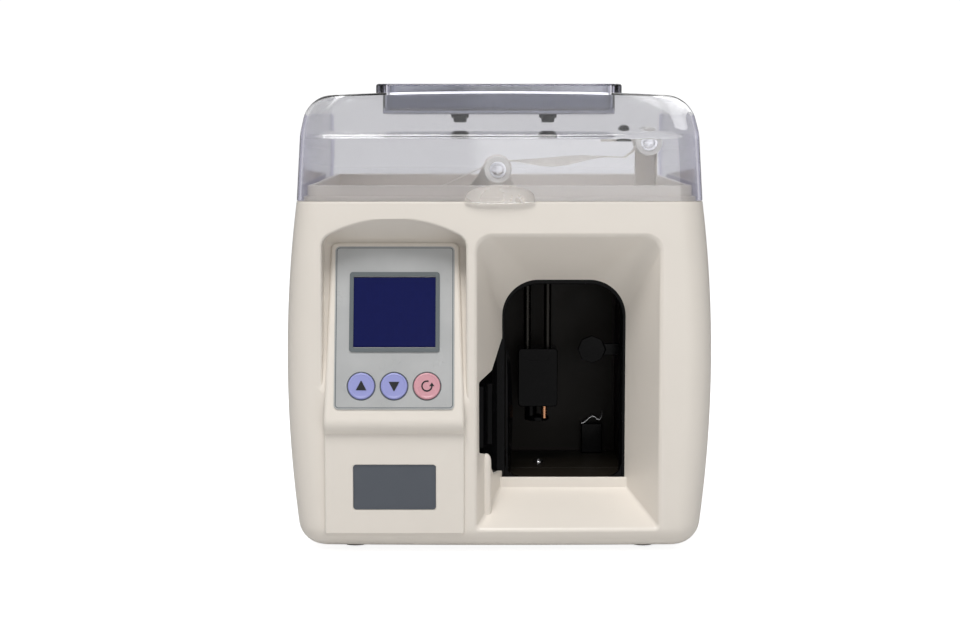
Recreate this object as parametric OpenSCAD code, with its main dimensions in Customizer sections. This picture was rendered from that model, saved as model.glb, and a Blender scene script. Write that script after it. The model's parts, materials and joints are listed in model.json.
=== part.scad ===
// Banknote strapping machine: a bench machine that winds a paper tape round a stack of notes.
// Front is -Y, up is +Z, and the origin is on the table under the middle of the machine.

/* [Housing] */
// Width of the housing at its widest
body_w = 275; // [262:1:290]
// Height of the housing's top edge, where the cover sits
seam_z = 228; // [225:1:234]
// Distance of the front face from the middle
front_d = 140.5; // [139:0.5:146]
// Distance of the rear face from the middle
rear_d = 142; // [138:0.5:150]
// Thickness of the moulded walls
wall = 3; // [2.4:0.1:3.4]
// Radius of the barrel curve of the sides
side_r = 820; // [700:10:1200]
// Radius of the two front upright corners
front_corner_r = 18; // [12:1:24]
// Radius of the two rear upright corners
rear_corner_r = 10; // [6:1:16]
// Radius at which the sides turn under
under_r = 14; // [10:1:16]
// How far the front face bows out in plan
front_bow = 2; // [0.5:0.5:3]
// Where the front and rear mouldings meet
split_y = -60; // [-62:1:-58]
// Height of the rubber feet
foot_h = 4; // [3:0.5:6]

/* [Cover] */
// Height of the cover's flat top
cover_top_z = 298.5; // [296:0.5:302]
// Thickness of the clear cover
cover_wall = 2.5; // [1.8:0.1:3]
// Radius of the long edges of the cover's top
cover_edge_r = 14; // [10:1:18]
// Height at which the cover's front starts to slope back
cover_brow_z = 271; // [266:1:274]
// Length of the grip tray
tray_w = 150; // [130:1:156]
// Width of the grip tray, front to rear
tray_d = 54; // [44:1:60]
// Depth of the grip tray
tray_h = 14; // [10:0.5:16]
// Height of the grip tray's raised rim
tray_rim = 5; // [3:0.5:6]

/* [Note mouth] */
// Left edge of the note mouth at the front face
mouth_left = -15; // [-16:0.5:-14]
// Distance of the mouth's right edge from the housing's side
mouth_margin = 34.5; // [30:0.5:38]
// Lower edge of the mouth
mouth_z0 = 17; // [15:0.5:20]
// Upper edge of the mouth
mouth_z1 = 206.5; // [203:0.5:210]
// Left edge of the throat, at the mouth's inner end
throat_left = 2; // [1:0.5:3]
// Distance of the throat's right edge from the housing's side
throat_margin = 54; // [52.5:0.5:55]
// Upper edge of the throat
throat_z1 = 175; // [172:0.5:178]
// How far back the throat lies
throat_y = -98; // [-100:0.5:-97.8]

/* [Control panel] */
// Middle of the control panel, left of the machine's middle
panel_x = -67.5; // [-69:0.5:-66]
// Width of the grey panel overlay
overlay_w = 77; // [72:0.5:79]
// Height of the grey panel overlay
overlay_h = 106; // [102:0.5:108]
// Diameter of the round buttons
button_d = 17.2; // [14:0.2:18.4]
// Distance from button to button
button_pitch = 21; // [19.6:0.2:22.6]
// Travel of a button
button_travel = 1; // [0.5:0.1:1.4]

/* [Tape drive] */
// Width of the paper tape
tape_w = 20; // [19:0.5:20.5]
// Radius of a full roll of tape
roll_r = 58; // [50:1:58]
// Radius of the roll's core
core_r = 20; // [16:1:24]
// Radius of the drums of the two guide rollers
drum_r = 5; // [4.5:0.1:5.5]
// Radius of the rubber feed roller
feed_r = 10; // [9:0.5:10.5]
// Radius of the pinch roller
pinch_r = 5; // [4.5:0.5:6]
// Inner width of the tape arch
arch_w = 77.5; // [74:0.5:78]
// Radius of the arch's upper corners
arch_r = 22; // [16:1:26]
// Lift of the two grippers and the press
lift = 4; // [2.5:0.1:4.2]
// Turn of the camshaft from open to clamped, in degrees
cam_turn = 240; // [200:10:260]
// Module of the gears
gear_m = 1; // [0.9:0.05:1.02]

/* [Hidden] */
$fn = 48;
slack = 0.3;          // gap between pieces that only lie against each other
run = 0.05;           // radial clearance of a shaft in its bore
over = 1;             // how far a cut runs past the face that it opens
corner_steps = 7;     // facets in a quarter turn of a lofted corner
bow_steps = 4;        // facets across the bowed front
body_rings = 9;       // rings between the turned-under edge and the seam
wide_z = 122;         // height at which the housing is widest
lean = 1.4;           // how far front and rear lean in by the seam

// Console on the left of the front face
tilt = 15;            // lean of the control panel from upright
nose_out = 6.5;       // how far the console's nose stands out of the front
nose_z = 90;          // height of the nose
nose_r = 9;           // radius at which the nose rolls under
column_out = 2;       // how far the console's lower plate stands out
column_w = 90;        // width of the console's lower plate
column_z = 14;        // lower end of that plate
recess_w = 92;        // width of the arched recess round the panel
recess_rise = 12.5;   // rise of the recess's arched top
recess_top = 216.5;   // top of that arch
island_w = 83;        // width of the raised panel at its top
island_up = 4;        // how far the raised panel stands off the recess floor
island_len = 115;     // length of the raised panel, up its slope
nose_y = -front_d - nose_out;
overlay_t = 0.8;      // thickness of the grey overlay
overlay_v = 6;        // start of the overlay, up the slope from the nose
overlay_r = 3;        // its corner radius
button_v = 21;        // place of the buttons, up the slope
button_rise = 1;      // how far a button stands out of the overlay
button_collar = 1;    // width of the collar that holds a button in
bezel_w = 58;         // frame of the display
bezel_h = 52;
bezel_v = 69;         // middle of the display, up the slope
bezel_t = 1.6;        // how far the frame stands out of the panel
window_w = 54;        // clear window of the display
window_h = 46;
plate_w = 53;         // name plate on the lower plate
plate_h = 29;
plate_z = 45;
plate_t = 1;
board_gap = 4;        // from the panel's back to the control board
board_t = 1.6;

// Note mouth
mouth_r = 10;         // radius of the mouth's upper corners
throat_z0 = 38;       // lower edge of the throat
table_z = 43.5;       // top of the note table
mouth_right = body_w / 2 - mouth_margin;
throat_right = body_w / 2 - throat_margin;
throat_mid = (throat_left + throat_right) / 2;
throat_r = arch_r + 2;
cut_z0 = 66;          // side cut-out in the mouth's left wall
cut_z1 = 112;
cut_top = 136;

// Inner frame
base_t = 2;
base_z = foot_h + wall;
deck_t = 3;
frame_z = base_z + base_t;
arch_y0 = throat_y + slack;
arch_wall = 6;        // thickness of the tape arch
arch_top = throat_z1 - 3;
arch_left = throat_mid - arch_w / 2;
arch_right = throat_mid + arch_w / 2;
tape_y = throat_y + 15;   // middle of the tape
tape_gap = 0.3;       // clearance between the tape and what turns it
tape_t = 0.4;
frame_y = -68;        // front of the upright frame plate
frame_t = 2;
arch_y1 = frame_y - slack;
liner_y0 = frame_y + frame_t + slack;
liner_y1 = 4;         // back of the note bay
liner_t = 2;

// Guide rollers above the deck
mid_roller = [-1, 247];
end_roller = [98, 265];
flange_r = 8.8;
flange_t = 1.6;
axle_r = 2;
roller_len = tape_w + 2;
roller_y0 = tape_y - roller_len / 2 - flange_t;
roller_y1 = tape_y + roller_len / 2 + flange_t;

// Tape roll
roll_c = [-62, 160];
spindle_r = 5;

// Feed rollers
feed_c = [98, table_z + 5.2];
feed_shaft_r = 3;
pinch_c = feed_c + [feed_r + pinch_r + tape_t + 2 * tape_gap, 0];
arm_pivot = pinch_c + [4, 32];
feed_teeth = 18;
pinion_teeth = 12;
gear_dir = 60;
gear_gap = 0.1;
gear_t = 3;
motor_c = feed_c + (gear_m * (feed_teeth + pinion_teeth) / 2 + gear_gap) * [cos(gear_dir), sin(gear_dir)];
motor_r = 14;
motor_len = 38;

// Sealing head under the note table
cam_z = frame_z + 10.5;
cam_r = 5.5;
cam_shaft_r = 3;
head_y0 = throat_y + 1;
head_y1 = frame_y - 1;
head_wall = 2;
head_x0 = throat_left;
head_x1 = throat_right + 0.5;
head_z1 = frame_z + 27;
table_t = 2.5;
follower_z0 = cam_z + cam_r + slack;
follower_z1 = table_z - table_t - lift - 0.5;

// Cover and hinge
knuckle_r = 3.5;
hinge_y = rear_d - 1.5 + nose_out + nose_r * (1 - cos(tilt)) - knuckle_r;
hinge_z = seam_z + 3.5;
pin_r = 1.5;
hinge_x = [-92, 92];
knuckle_w = 16;
ear_w = 6;
cover_z0 = seam_z + slack;
cover_crown = 4;      // rise of the cover's arched top
slope_in = 45;        // how far the cover's front slopes back
rear_slope = 26;      // how far its rear slopes in

// Feet and their screws
foot_x = 95;
foot_y = 104;
foot_r = 9;
foot_screw_r = 2;

// Openings of the rear face
inlet_c = [-88, 52];
inlet_w = 28;
inlet_h = 21;
rocker_c = [-52, 52];
rocker_w = 14;
rocker_h = 21;
rocker_wall = 1.5;    // wall of the switch body
rocker_r = 8.4;
rocker_back = 5;      // from the rocker's pivot to its flat back
rocker_pin_r = 1.2;
rocker_y = rear_d - rocker_r + 1.8;
rocker_half = rocker_h / 2 - rocker_wall - 1.4;
vent_n = 9;
vent_pitch = 9;
vent_x = 30;          // first vent slot
vent_w = 4;
vent_z = 60;
vent_h = 34;

// Cover, its grip tray and its finger lip
cover_back = hinge_y - knuckle_r - 0.5;
cover_draft = 0.055;  // how fast its walls lean in with height
side_top = cover_top_z - cover_crown;
tray_y = -42;         // middle of the grip tray
tray_border = 7;      // width of the raised rim round it
lip_w = 45;
lip_h = 13;
lip_out = 3.4;

// Back of the panel's wall
panel_back = -island_up - wall;

// Press in the note bay, on two rods through the bay's roof
press_x = [20, 34];
press_y = -42;
press_rod_r = 2.5;
press_z0 = 84;
press_z1 = 124;
press_travel = 24;
roof_z = throat_z1 - 1;
guide_h = 16;         // height of the block that guides the rods
screw_c = [28, -43];  // ring screw in the bay's floor

// Paper clip block at the back of the bay
clip_x = throat_right - 24;
clip_w = 15;
clip_h = 21;

// Brackets of the guide rollers
bracket_y = roller_y1 + slack;
bracket_t = 4;

// Hub, tape path and gears
hub_r = core_r - slack;
hub_y0 = tape_y - tape_w / 2 - 2;
hub_y1 = tape_y + tape_w / 2 + 2;
turn_r = drum_r + tape_gap + tape_t / 2;
feed_turn_r = feed_r + tape_gap + tape_t / 2;
gear_y1 = frame_y - 0.6;
arm_t = 2.5;
arm_y0 = tape_y - tape_w / 2 - 0.5 - arm_t;
arm_pivot_r = 2.5;
pinch_axle_r = 1.5;

// Camshaft and its followers
follower_y0 = head_y0 + head_wall + slack;
follower_y1 = head_y1 - head_wall - slack;
cam_t = 6;
cam_c = [tape_y, cam_z];
cam_fall = 60;        // turn over which a cam falls back, before it dwells
grip_x = [18, 66];
heat_x = 40;
cut_x = 54;

// Blade and stop beside the notes
blade_h = 84;
stop_c = [throat_right - 20, 124];
stop_r = 9.5;

// Power supply and main board on the base plate
supply_c = [-body_w / 2 + 61.5, 15];
supply_w = 64;
supply_d = 90;
supply_h = 47;
supply_flange = 4;
supply_foot = 10;     // how far its foot reaches out to front and rear
main_c = [body_w / 2 - 72.5, 63];
main_w = 90;
main_d = 106;
main_z = frame_z + 8; // underside of the main board
pillar_in = 6;        // from the board's edges to its pillars
can_pitch = 12;

// Colours
ivory = [0.90, 0.87, 0.83];
black = [0.06, 0.06, 0.06];
steel = [0.72, 0.73, 0.75];
smoked = [0.55, 0.55, 0.62, 0.45];
white = [0.93, 0.93, 0.92];

// Height taken off each side by the barrel curve, the turned-under edge and the lean
function barrel(z) = side_r - sqrt(side_r * side_r - (z - wide_z) * (z - wide_z));
function under(z, t) =
  let (r = under_r - t, d = max(0, foot_h + under_r - z))
  r - sqrt(max(0, r * r - d * d));
function leaned(z) = lean * (z - foot_h) / (seam_z - foot_h);
function half_w(z, t) = body_w / 2 - barrel(z) - t - under(z, t);
function face_y(z, t) = -front_d + leaned(z) + t + under(z, t);
function back_y(z, t) = rear_d - leaned(z) - t - under(z, t);
function corner_r(r, z, t) = max(r - t - under(z, t), 1.2);

// Points of a quarter turn, and the front and rear chains of the housing's outline at one height
function quarter(c, r, a0) =
  [for (i = [0:corner_steps]) let (a = a0 + 90 * i / corner_steps) c + r * [cos(a), sin(a)]];
function bowed(xf, y) =
  [for (i = [1:bow_steps - 1]) let (s = 2 * i / bow_steps - 1) [xf * s, y + front_bow * s * s]];
function front_chain(hw, y, r) =
  concat(quarter([-hw + r, y + front_bow + r], r, 180),
         bowed(hw - r, y),
         quarter([hw - r, y + front_bow + r], r, 270));
function rear_chain(hw, y, r) =
  concat(quarter([hw - r, y - r], r, 0),
         [for (i = [1:bow_steps - 1]) [(hw - r) * (1 - 2 * i / bow_steps), y]],
         quarter([-hw + r, y - r], r, 90));
function front_at(z, t) = front_chain(half_w(z, t), face_y(z, t), corner_r(front_corner_r, z, t));
function rear_at(z, t) = rear_chain(half_w(z, t), back_y(z, t), corner_r(rear_corner_r, z, t));
function outline_at(z, t) = concat(rear_at(z, t), front_at(z, t));
function raised(points, z) = [for (p = points) [p[0], p[1], z]];

// Heights of the housing's rings, for a skin set in by t and ending at the height top
function ring_heights(t, top) =
  let (z0 = foot_h + under_r, r = under_r - t)
  concat([for (i = [0:4]) z0 - r * cos(22.5 * i)],
         [for (i = [1:body_rings]) z0 + (top - z0) * i / body_rings]);

// Closed skin over a stack of rings that all have the same number of points
module skin(rings) {
  n = len(rings[0]);
  m = len(rings);
  side = [for (k = [0:m - 2], i = [0:n - 1], half = [0, 1])
    let (a = k * n + i, b = k * n + (i + 1) % n, c = b + n, d = a + n)
    half == 0 ? [a, d, c] : [a, c, b]];
  low = [[for (i = [0:n - 1]) i]];
  high = [[for (i = [n - 1:-1:0]) (m - 1) * n + i]];
  points = [for (ring = rings, p = ring) p];
  polyhedron(points, concat(low, side, high), convexity = 8);
}

// Front and rear halves of the housing, as solids set in by t
module front_half(t, top, past) {
  skin([for (z = ring_heights(t, top))
    raised(concat([[half_w(z, t), split_y + past], [-half_w(z, t), split_y + past]],
                  front_at(z, t)), z)]);
}
module rear_half(t, top, past) {
  skin([for (z = ring_heights(t, top))
    raised(concat([[-half_w(z, t), split_y + slack - past], [half_w(z, t), split_y + slack - past]],
                  rear_at(z, t)), z)]);
}

// A box from one corner to the other, and an XZ outline carried along Y
module block(a, b) {
  translate(a) cube(b - a);
}
module along_y(y0, y1) {
  translate([0, y1, 0]) rotate([90, 0, 0]) linear_extrude(y1 - y0) children();
}
module along_x(x0, x1) {
  translate([x0, 0, 0]) rotate([90, 0, 90]) linear_extrude(x1 - x0) children();
}
module rod_y(c, r, y0, y1) {
  translate([c[0], y1, c[1]]) rotate([90, 0, 0]) cylinder(r = r, h = y1 - y0);
}
module rod_z(c, r, z0, z1) {
  translate([c[0], c[1], z0]) cylinder(r = r, h = z1 - z0);
}
module rod_x(c, r, x0, x1) {
  translate([x0, c[0], c[1]]) rotate([0, 90, 0]) cylinder(r = r, h = x1 - x0);
}

// Places children on the control panel: X across, Y up its slope, Z out of it
module on_panel(v) {
  translate([panel_x, nose_y, nose_z]) rotate([90 - tilt, 0, 0]) translate([0, v, 0]) children();
}
function panel_y(z) = nose_y + (z - nose_z) * tan(tilt);
module rounded(w, h, r) {
  translate([-w / 2 + r, -h / 2]) square([w - 2 * r, h]);
  translate([-w / 2, -h / 2 + r]) square([w, h - 2 * r]);
  for (x = [-1, 1], y = [-1, 1]) translate([x * (w / 2 - r), y * (h / 2 - r)]) circle(r);
}

// Outline of the recess round the panel, in XZ, grown by t
module recess_arch(t) {
  r = (recess_w * recess_w / 4 + recess_rise * recess_rise) / (2 * recess_rise);
  intersection() {
    translate([panel_x, recess_top - r]) circle(r + t, $fn = 96);
    translate([panel_x - recess_w / 2 - t, nose_z - nose_r]) square([recess_w + 2 * t, 200]);
  }
}

// Air of the recess in YZ: floor behind the raised panel, ceiling up to the arch
module recess_profile(t, y0, z0) {
  z1 = nose_z + island_len * cos(tilt);
  back = island_up / cos(tilt) + t;
  rear = [panel_y(z1) + back, z1 + t / 2];
  brow = [-front_d, recess_top + 2 + t];
  roof = rear + (brow - rear) * (y0 - rear[0]) / (brow[0] - rear[0]);
  polygon([[y0, z0], [panel_y(z0) + back, z0], rear, roof]);
}
module recess_solid(t, y0, z0) {
  intersection() {
    along_y(nose_y - over, 0) recess_arch(t);
    along_x(panel_x - recess_w / 2 - t, panel_x + recess_w / 2 + t) recess_profile(t, y0, z0);
  }
}

// Nose of the console, rolled under onto the lower plate
module nose_profile() {
  c = [nose_y + nose_r * cos(tilt), nose_z - nose_r * sin(tilt)];
  y_low = -front_d - column_out;
  a1 = 180 + acos((c[0] - y_low) / nose_r);
  roll = [for (i = [0:8]) let (a = 180 - tilt + (a1 - 180 + tilt) * i / 8) c + nose_r * [cos(a), sin(a)]];
  up = [for (s = [12, 0]) [panel_y(nose_z + s), nose_z + s]];
  polygon(concat(up, roll, [[y_low, column_z], [-front_d + 4, column_z], [-front_d + 4, nose_z],
                            [panel_y(nose_z + 12) + island_up, nose_z + 12]]));
}

module raised_panel() {
  half_top = island_w / 2;
  half_low = column_w / 2;
  on_panel(0) translate([0, 0, -island_up - 0.5]) linear_extrude(island_up + 0.5)
    polygon([[-half_low, 0], [half_low, 0], [half_top, island_len - 4], [half_top - 4, island_len],
             [4 - half_top, island_len], [-half_top, island_len - 4]]);
}

// Air of the note mouth, from the front face to the throat, grown by t
module mouth_plate(x0, x1, z0, z1, r, t) {
  translate([x0 - t, z0 - t]) square([x1 - x0 + 2 * t, z1 - z0 - r + t]);
  for (x = [x0 + r, x1 - r]) translate([x, z1 - r]) circle(r + t, $fn = 32);
}
module mouth_air(t, y0) {
  grow = (throat_y - y0) / (throat_y + front_d);
  x0 = throat_left + (mouth_left - throat_left) * grow;
  x1 = throat_right + (mouth_right - throat_right) * grow;
  z0 = throat_z0 + (mouth_z0 - throat_z0) * grow;
  z1 = throat_z1 + (mouth_z1 - throat_z1) * grow;
  hull() {
    along_y(y0, y0 + 0.01) mouth_plate(x0, x1, z0, z1, mouth_r, t);
    along_y(throat_y - 0.01, throat_y) mouth_plate(throat_left, throat_right, throat_z0, throat_z1,
                                                   throat_r, t);
  }
}

// Cut-out in the left wall of the mouth, in YZ
module side_cut() {
  along_x(mouth_left - 8, throat_left + 4)
    polygon([[throat_y + over, cut_top], [throat_y, cut_top], [throat_y - 17, cut_z1 + 5],
             [-front_d + 5, cut_z1], [-front_d + 5, cut_z0], [throat_y - 25, cut_z0 - 3],
             [throat_y - 14, table_z + 4], [throat_y + over, table_z + 4]]);
}

// Openings of the display and the buttons, with a pocket behind each button for its collar
module panel_holes() {
  on_panel(bezel_v) translate([-window_w / 2, -window_h / 2, -20]) cube([window_w, window_h, 30]);
  for (k = [-1:1]) on_panel(button_v) translate([k * button_pitch, 0, -20]) {
    cylinder(d = button_d + 2 * slack, h = 30);
    cylinder(d = button_d + 2 * button_collar + 4 * slack, h = 20 + panel_back);
  }
}

module name_recess() {
  block([panel_x - plate_w / 2 - slack, nose_y, plate_z - plate_h / 2 - slack],
        [panel_x + plate_w / 2 + slack, -front_d - column_out + plate_t, plate_z + plate_h / 2 + slack]);
}

module foot_bores(r, z0, z1) {
  for (x = [-foot_x, foot_x], y = [-foot_y, foot_y]) translate([x, y, z0]) cylinder(r = r, h = z1 - z0);
}

module front_housing() color(ivory) difference() {
  union() {
    difference() {
      union() {
        difference() {
          front_half(0, seam_z, 0);
          front_half(wall, seam_z + over, over);
        }
        recess_solid(wall, -front_d + 4, nose_z + 16);
        mouth_air(wall, -front_d + 4);
      }
      recess_solid(0, nose_y - over, nose_z - 6);
      mouth_air(0, -front_d - over);
      block([throat_left, throat_y - 0.1, table_z + 2], [throat_right, throat_y + over, throat_z1 - throat_r]);
      side_cut();
    }
    raised_panel();
    along_x(panel_x - column_w / 2, panel_x + column_w / 2) nose_profile();
    block([throat_left - 2, throat_y - 2.5, throat_z0 - 2], [throat_right + 2, throat_y, table_z]);
  }
  panel_holes();
  name_recess();
  foot_bores(foot_screw_r + run, 0, base_z + over);
}

// Openings of the rear face

module rear_outline(c, w, h, y0, y1) {
  block([c[0] - w / 2, y0, c[1] - h / 2], [c[0] + w / 2, y1, c[1] + h / 2]);
}

// Ear that carries the hinge pin, in YZ
module ear_profile() {
  y = back_y(seam_z, 0);
  translate([hinge_y, hinge_z]) circle(knuckle_r);
  polygon([[y - 2, seam_z - 20], [y, seam_z - 20], [hinge_y + knuckle_r, seam_z - 8],
           [hinge_y + knuckle_r, hinge_z], [hinge_y - knuckle_r, hinge_z], [hinge_y - knuckle_r, seam_z - 1],
           [y - 2, seam_z - 1]]);
}
module ears() {
  for (x = hinge_x, side = [-1, 1]) {
    mid = x + side * (knuckle_w / 2 + slack + ear_w / 2);
    along_x(mid - ear_w / 2, mid + ear_w / 2) ear_profile();
  }
}

module rear_housing() color(ivory) difference() {
  union() {
    difference() {
      rear_half(0, seam_z, 0);
      rear_half(wall, seam_z + over, over);
    }
    ears();
  }
  for (x = hinge_x) rod_x([hinge_y, hinge_z], pin_r + run, x - knuckle_w, x + knuckle_w);
  rear_outline(inlet_c, inlet_w + 2 * slack, inlet_h + 2 * slack, rear_d - 20, rear_d + over);
  rear_outline(rocker_c, rocker_w + 2 * slack, rocker_h + 2 * slack, rear_d - 20, rear_d + over);
  for (i = [0:vent_n - 1])
    translate([vent_x + i * vent_pitch, rear_d - 10, vent_z]) cube([vent_w, 20, vent_h]);
  foot_bores(foot_screw_r + run, 0, base_z + over);
}

module top_deck() color(ivory) difference() {
  union() {
    translate([0, 0, seam_z - deck_t]) linear_extrude(deck_t)
      polygon(outline_at(seam_z, wall + slack));
    for (step = [[4.5, 3], [7, 10]])
      translate([0, 0, seam_z - over]) linear_extrude(step[1] + over) difference() {
        polygon(outline_at(seam_z, step[0]));
        polygon(outline_at(seam_z, step[0] + 2.8));
      }
  }
  block([roll_c[0] - roll_r - 2, tape_y - tape_w / 2 - 3, seam_z - 10],
        [mid_roller[0] - 7, tape_y + tape_w / 2 + 3, seam_z + over]);
  block([end_roller[0] + 2, tape_y - tape_w / 2 - 2, seam_z - 10],
        [end_roller[0] + 10, tape_y + tape_w / 2 + 2, seam_z + over]);
}

module base_plate() color(steel) difference() {
  translate([0, 0, base_z]) linear_extrude(base_t) polygon(outline_at(base_z, wall + slack));
  foot_bores(foot_screw_r + run, 0, frame_z + over);
}

module rubber_feet() color(black) difference() {
  for (x = [-foot_x, foot_x], y = [-foot_y, foot_y]) translate([x, y, 0])
    cylinder(r1 = foot_r - 1, r2 = foot_r, h = foot_h, $fn = 40);
  foot_bores(foot_screw_r + run, -over, foot_h + over);
  foot_bores(foot_screw_r + 2, -over, foot_h - 1.5);
}

module foot_screws() color(steel) {
  foot_bores(foot_screw_r, foot_h - 2, frame_z + 1.5);
  foot_bores(foot_screw_r + 1.6, foot_h - 3, foot_h - 1.5);
}

// Upright steel plate that carries the tape drive, between the walls of the housing
module plate_outline() {
  top = seam_z - deck_t - slack;
  heights = concat([frame_z], [for (z = ring_heights(wall, seam_z)) if (z > frame_z && z < top) z], [top]);
  n = len(heights);
  polygon(concat([for (z = heights) [half_w(z, wall) - slack, z]],
                 [for (i = [n - 1:-1:0]) [slack - half_w(heights[i], wall), heights[i]]]));
}
module chassis_plate() color(steel) difference() {
  along_y(frame_y, frame_y + frame_t) plate_outline();
  block([throat_left - slack - liner_t, frame_y - over, frame_z - over],
        [throat_right + liner_t + slack, frame_y + frame_t + over, throat_z1 + slack]);
  for (hole = [[roll_c, spindle_r], [feed_c, feed_shaft_r], [arm_pivot, arm_pivot_r], [motor_c, 3]])
    rod_y(hole[0], hole[1] + run, frame_y - over, frame_y + frame_t + over);
}

// Cover: rings from the seam up to the edge of the arched top, set in by t
function edge_in(z, t) =
  let (r = cover_edge_r - t, d = max(0, z - (side_top - cover_edge_r)))
  r - sqrt(max(0, r * r - d * d));
function cover_w(z, t) = half_w(seam_z, 0) - cover_draft * (z - seam_z) - t - edge_in(z, t);
function slope_at(z, t, z0, run_in) = run_in * max(0, z + 0.6 * t - z0) / (side_top - z0);
function cover_front(z, t) =
  face_y(seam_z, 0) + cover_draft * (z - seam_z) + t + slope_at(z, t, cover_brow_z, slope_in);
function cover_rear(z, t) =
  cover_back - cover_draft * (z - seam_z) - t - slope_at(z, t, cover_brow_z - 20, rear_slope);
function crown_at(x, z) =
  let (s = max(0, min(1, (z - cover_brow_z) / (side_top - cover_brow_z))), w = body_w / 2)
  z + cover_crown * s * (1 - x * x / (w * w));
function cover_ring(z, t) =
  let (w = cover_w(z, t),
       points = concat(rear_chain(w, cover_rear(z, t), max(rear_corner_r - t, 2)),
                       front_chain(w, cover_front(z, t), front_corner_r - t)))
  [for (p = points) [p[0], p[1], crown_at(p[0], z)]];

// Closed skin whose top is bridged from the front chain to the rear chain, so that it can arch
module arched_skin(rings) {
  n = len(rings[0]);
  m = len(rings);
  h = n / 2;
  top = (m - 1) * n;
  side = [for (k = [0:m - 2], i = [0:n - 1], half = [0, 1])
    let (a = k * n + i, b = k * n + (i + 1) % n, c = b + n, d = a + n)
    half == 0 ? [a, d, c] : [a, c, b]];
  bridge = [for (j = [0:h - 2], half = [0, 1])
    let (f = top + h + j, r = top + h - 1 - j)
    half == 0 ? [f, r, r - 1] : [f, r - 1, f + 1]];
  points = [for (ring = rings, p = ring) p];
  polyhedron(points, concat([[for (i = [0:n - 1]) i]], side, bridge), convexity = 8);
}
module cover_solid(t, z0) {
  z1 = side_top - cover_edge_r;
  r = cover_edge_r - t;
  low = [for (i = [0:3]) z0 + (cover_brow_z - z0) * i / 3];
  mid = [for (i = [1:2]) cover_brow_z + (z1 - cover_brow_z) * i / 2];
  edge = [for (i = [1:5]) z1 + r * sin(18 * i)];
  arched_skin([for (z = concat(low, mid, edge)) cover_ring(z, t)]);
}
module tray_outline(grow, r) {
  rounded(tray_w + 2 * grow, tray_d + 2 * grow, r);
}

module finger_lip() {
  r = (lip_w * lip_w / 4 + lip_h * lip_h / 4) / lip_h;
  along_y(face_y(seam_z, 0) - lip_out, face_y(seam_z, 0) + cover_wall / 2) intersection() {
    translate([0, seam_z + lip_h / 2 - r + 4]) circle(r, $fn = 96);
    translate([-lip_w / 2, cover_z0]) square([lip_w, lip_h]);
  }
}

module top_cover() color(smoked) {
  difference() {
    union() {
      difference() {
        cover_solid(0, cover_z0);
        cover_solid(cover_wall, cover_z0 - over);
      }
      translate([0, tray_y, cover_top_z - tray_h - cover_wall])
        linear_extrude(tray_h + cover_wall + tray_rim) tray_outline(cover_wall, 6);
      translate([0, tray_y, cover_top_z - 2.6]) linear_extrude(2.6 + tray_rim) tray_outline(tray_border, 9);
      finger_lip();
      for (x = hinge_x) {
        rod_x([hinge_y, hinge_z], knuckle_r, x - knuckle_w / 2, x + knuckle_w / 2);
        block([x - knuckle_w / 2, cover_back - cover_wall / 2, hinge_z - 2],
              [x + knuckle_w / 2, hinge_y, hinge_z + knuckle_r - 0.5]);
      }
    }
    translate([0, tray_y, cover_top_z - tray_h]) linear_extrude(tray_h + tray_rim + over) tray_outline(0, 4);
    for (x = hinge_x) rod_x([hinge_y, hinge_z], pin_r + run, x - knuckle_w, x + knuckle_w);
    for (x = hinge_x, side = [-1, 1])
      translate([x + side * (knuckle_w / 2 + slack + ear_w / 2), hinge_y, hinge_z])
        cube([ear_w + 2 * slack, 2 * (knuckle_r + slack), 3 * knuckle_r], center = true);
  }
}

module hinge_pins() color(steel) {
  reach = knuckle_w / 2 + slack + ear_w;
  for (x = hinge_x) rod_x([hinge_y, hinge_z], pin_r, x - reach, x + reach);
}

// Control panel
module panel_overlay() color([0.70, 0.70, 0.71]) difference() {
  on_panel(overlay_v + overlay_h / 2) linear_extrude(overlay_t) rounded(overlay_w, overlay_h, overlay_r);
  panel_holes();
}
module display_bezel() color([0.45, 0.47, 0.50]) on_panel(bezel_v) translate([0, 0, overlay_t])
  linear_extrude(bezel_t - overlay_t) difference() {
    rounded(bezel_w, bezel_h, 2);
    square([window_w - 2, window_h - 2], center = true);
  }
module display_window() color([0.05, 0.06, 0.30]) on_panel(bezel_v) translate([0, 0, -6])
  linear_extrude(6 + overlay_t - 0.1) square([window_w - 2 * slack, window_h - 2 * slack], center = true);

module button(k) {
  on_panel(button_v) translate([k * button_pitch, 0, 0]) {
    translate([0, 0, panel_back - 0.2]) cylinder(d = button_d, h = overlay_t + button_rise - panel_back + 0.2);
    translate([0, 0, panel_back - 0.2 - 1.2]) cylinder(d = button_d + 2 * button_collar, h = 1.2);
  }
}
module up_button() color([0.62, 0.64, 0.88]) button(-1);
module down_button() color([0.62, 0.64, 0.88]) button(0);
module clear_button() color([0.88, 0.64, 0.68]) button(1);

module control_board() color([0.10, 0.35, 0.20]) {
  on_panel(0) translate([-38, 8, panel_back - board_gap - board_t]) cube([76, 100, board_t]);
  for (k = [-1:1]) on_panel(button_v) translate([k * button_pitch - 3, -3, panel_back - board_gap])
    cube([6, 6, board_gap - 1.4 - button_travel - 0.4]);
  for (x = [-34, 34], v = [34, 104]) on_panel(v) translate([x, 0, panel_back - board_gap])
    cylinder(r = 2.5, h = board_gap);
}
module name_plate() color([0.42, 0.45, 0.47])
  block([panel_x - plate_w / 2, -front_d - column_out + 0.2, plate_z - plate_h / 2],
        [panel_x + plate_w / 2, -front_d - column_out + plate_t, plate_z + plate_h / 2]);

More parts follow.
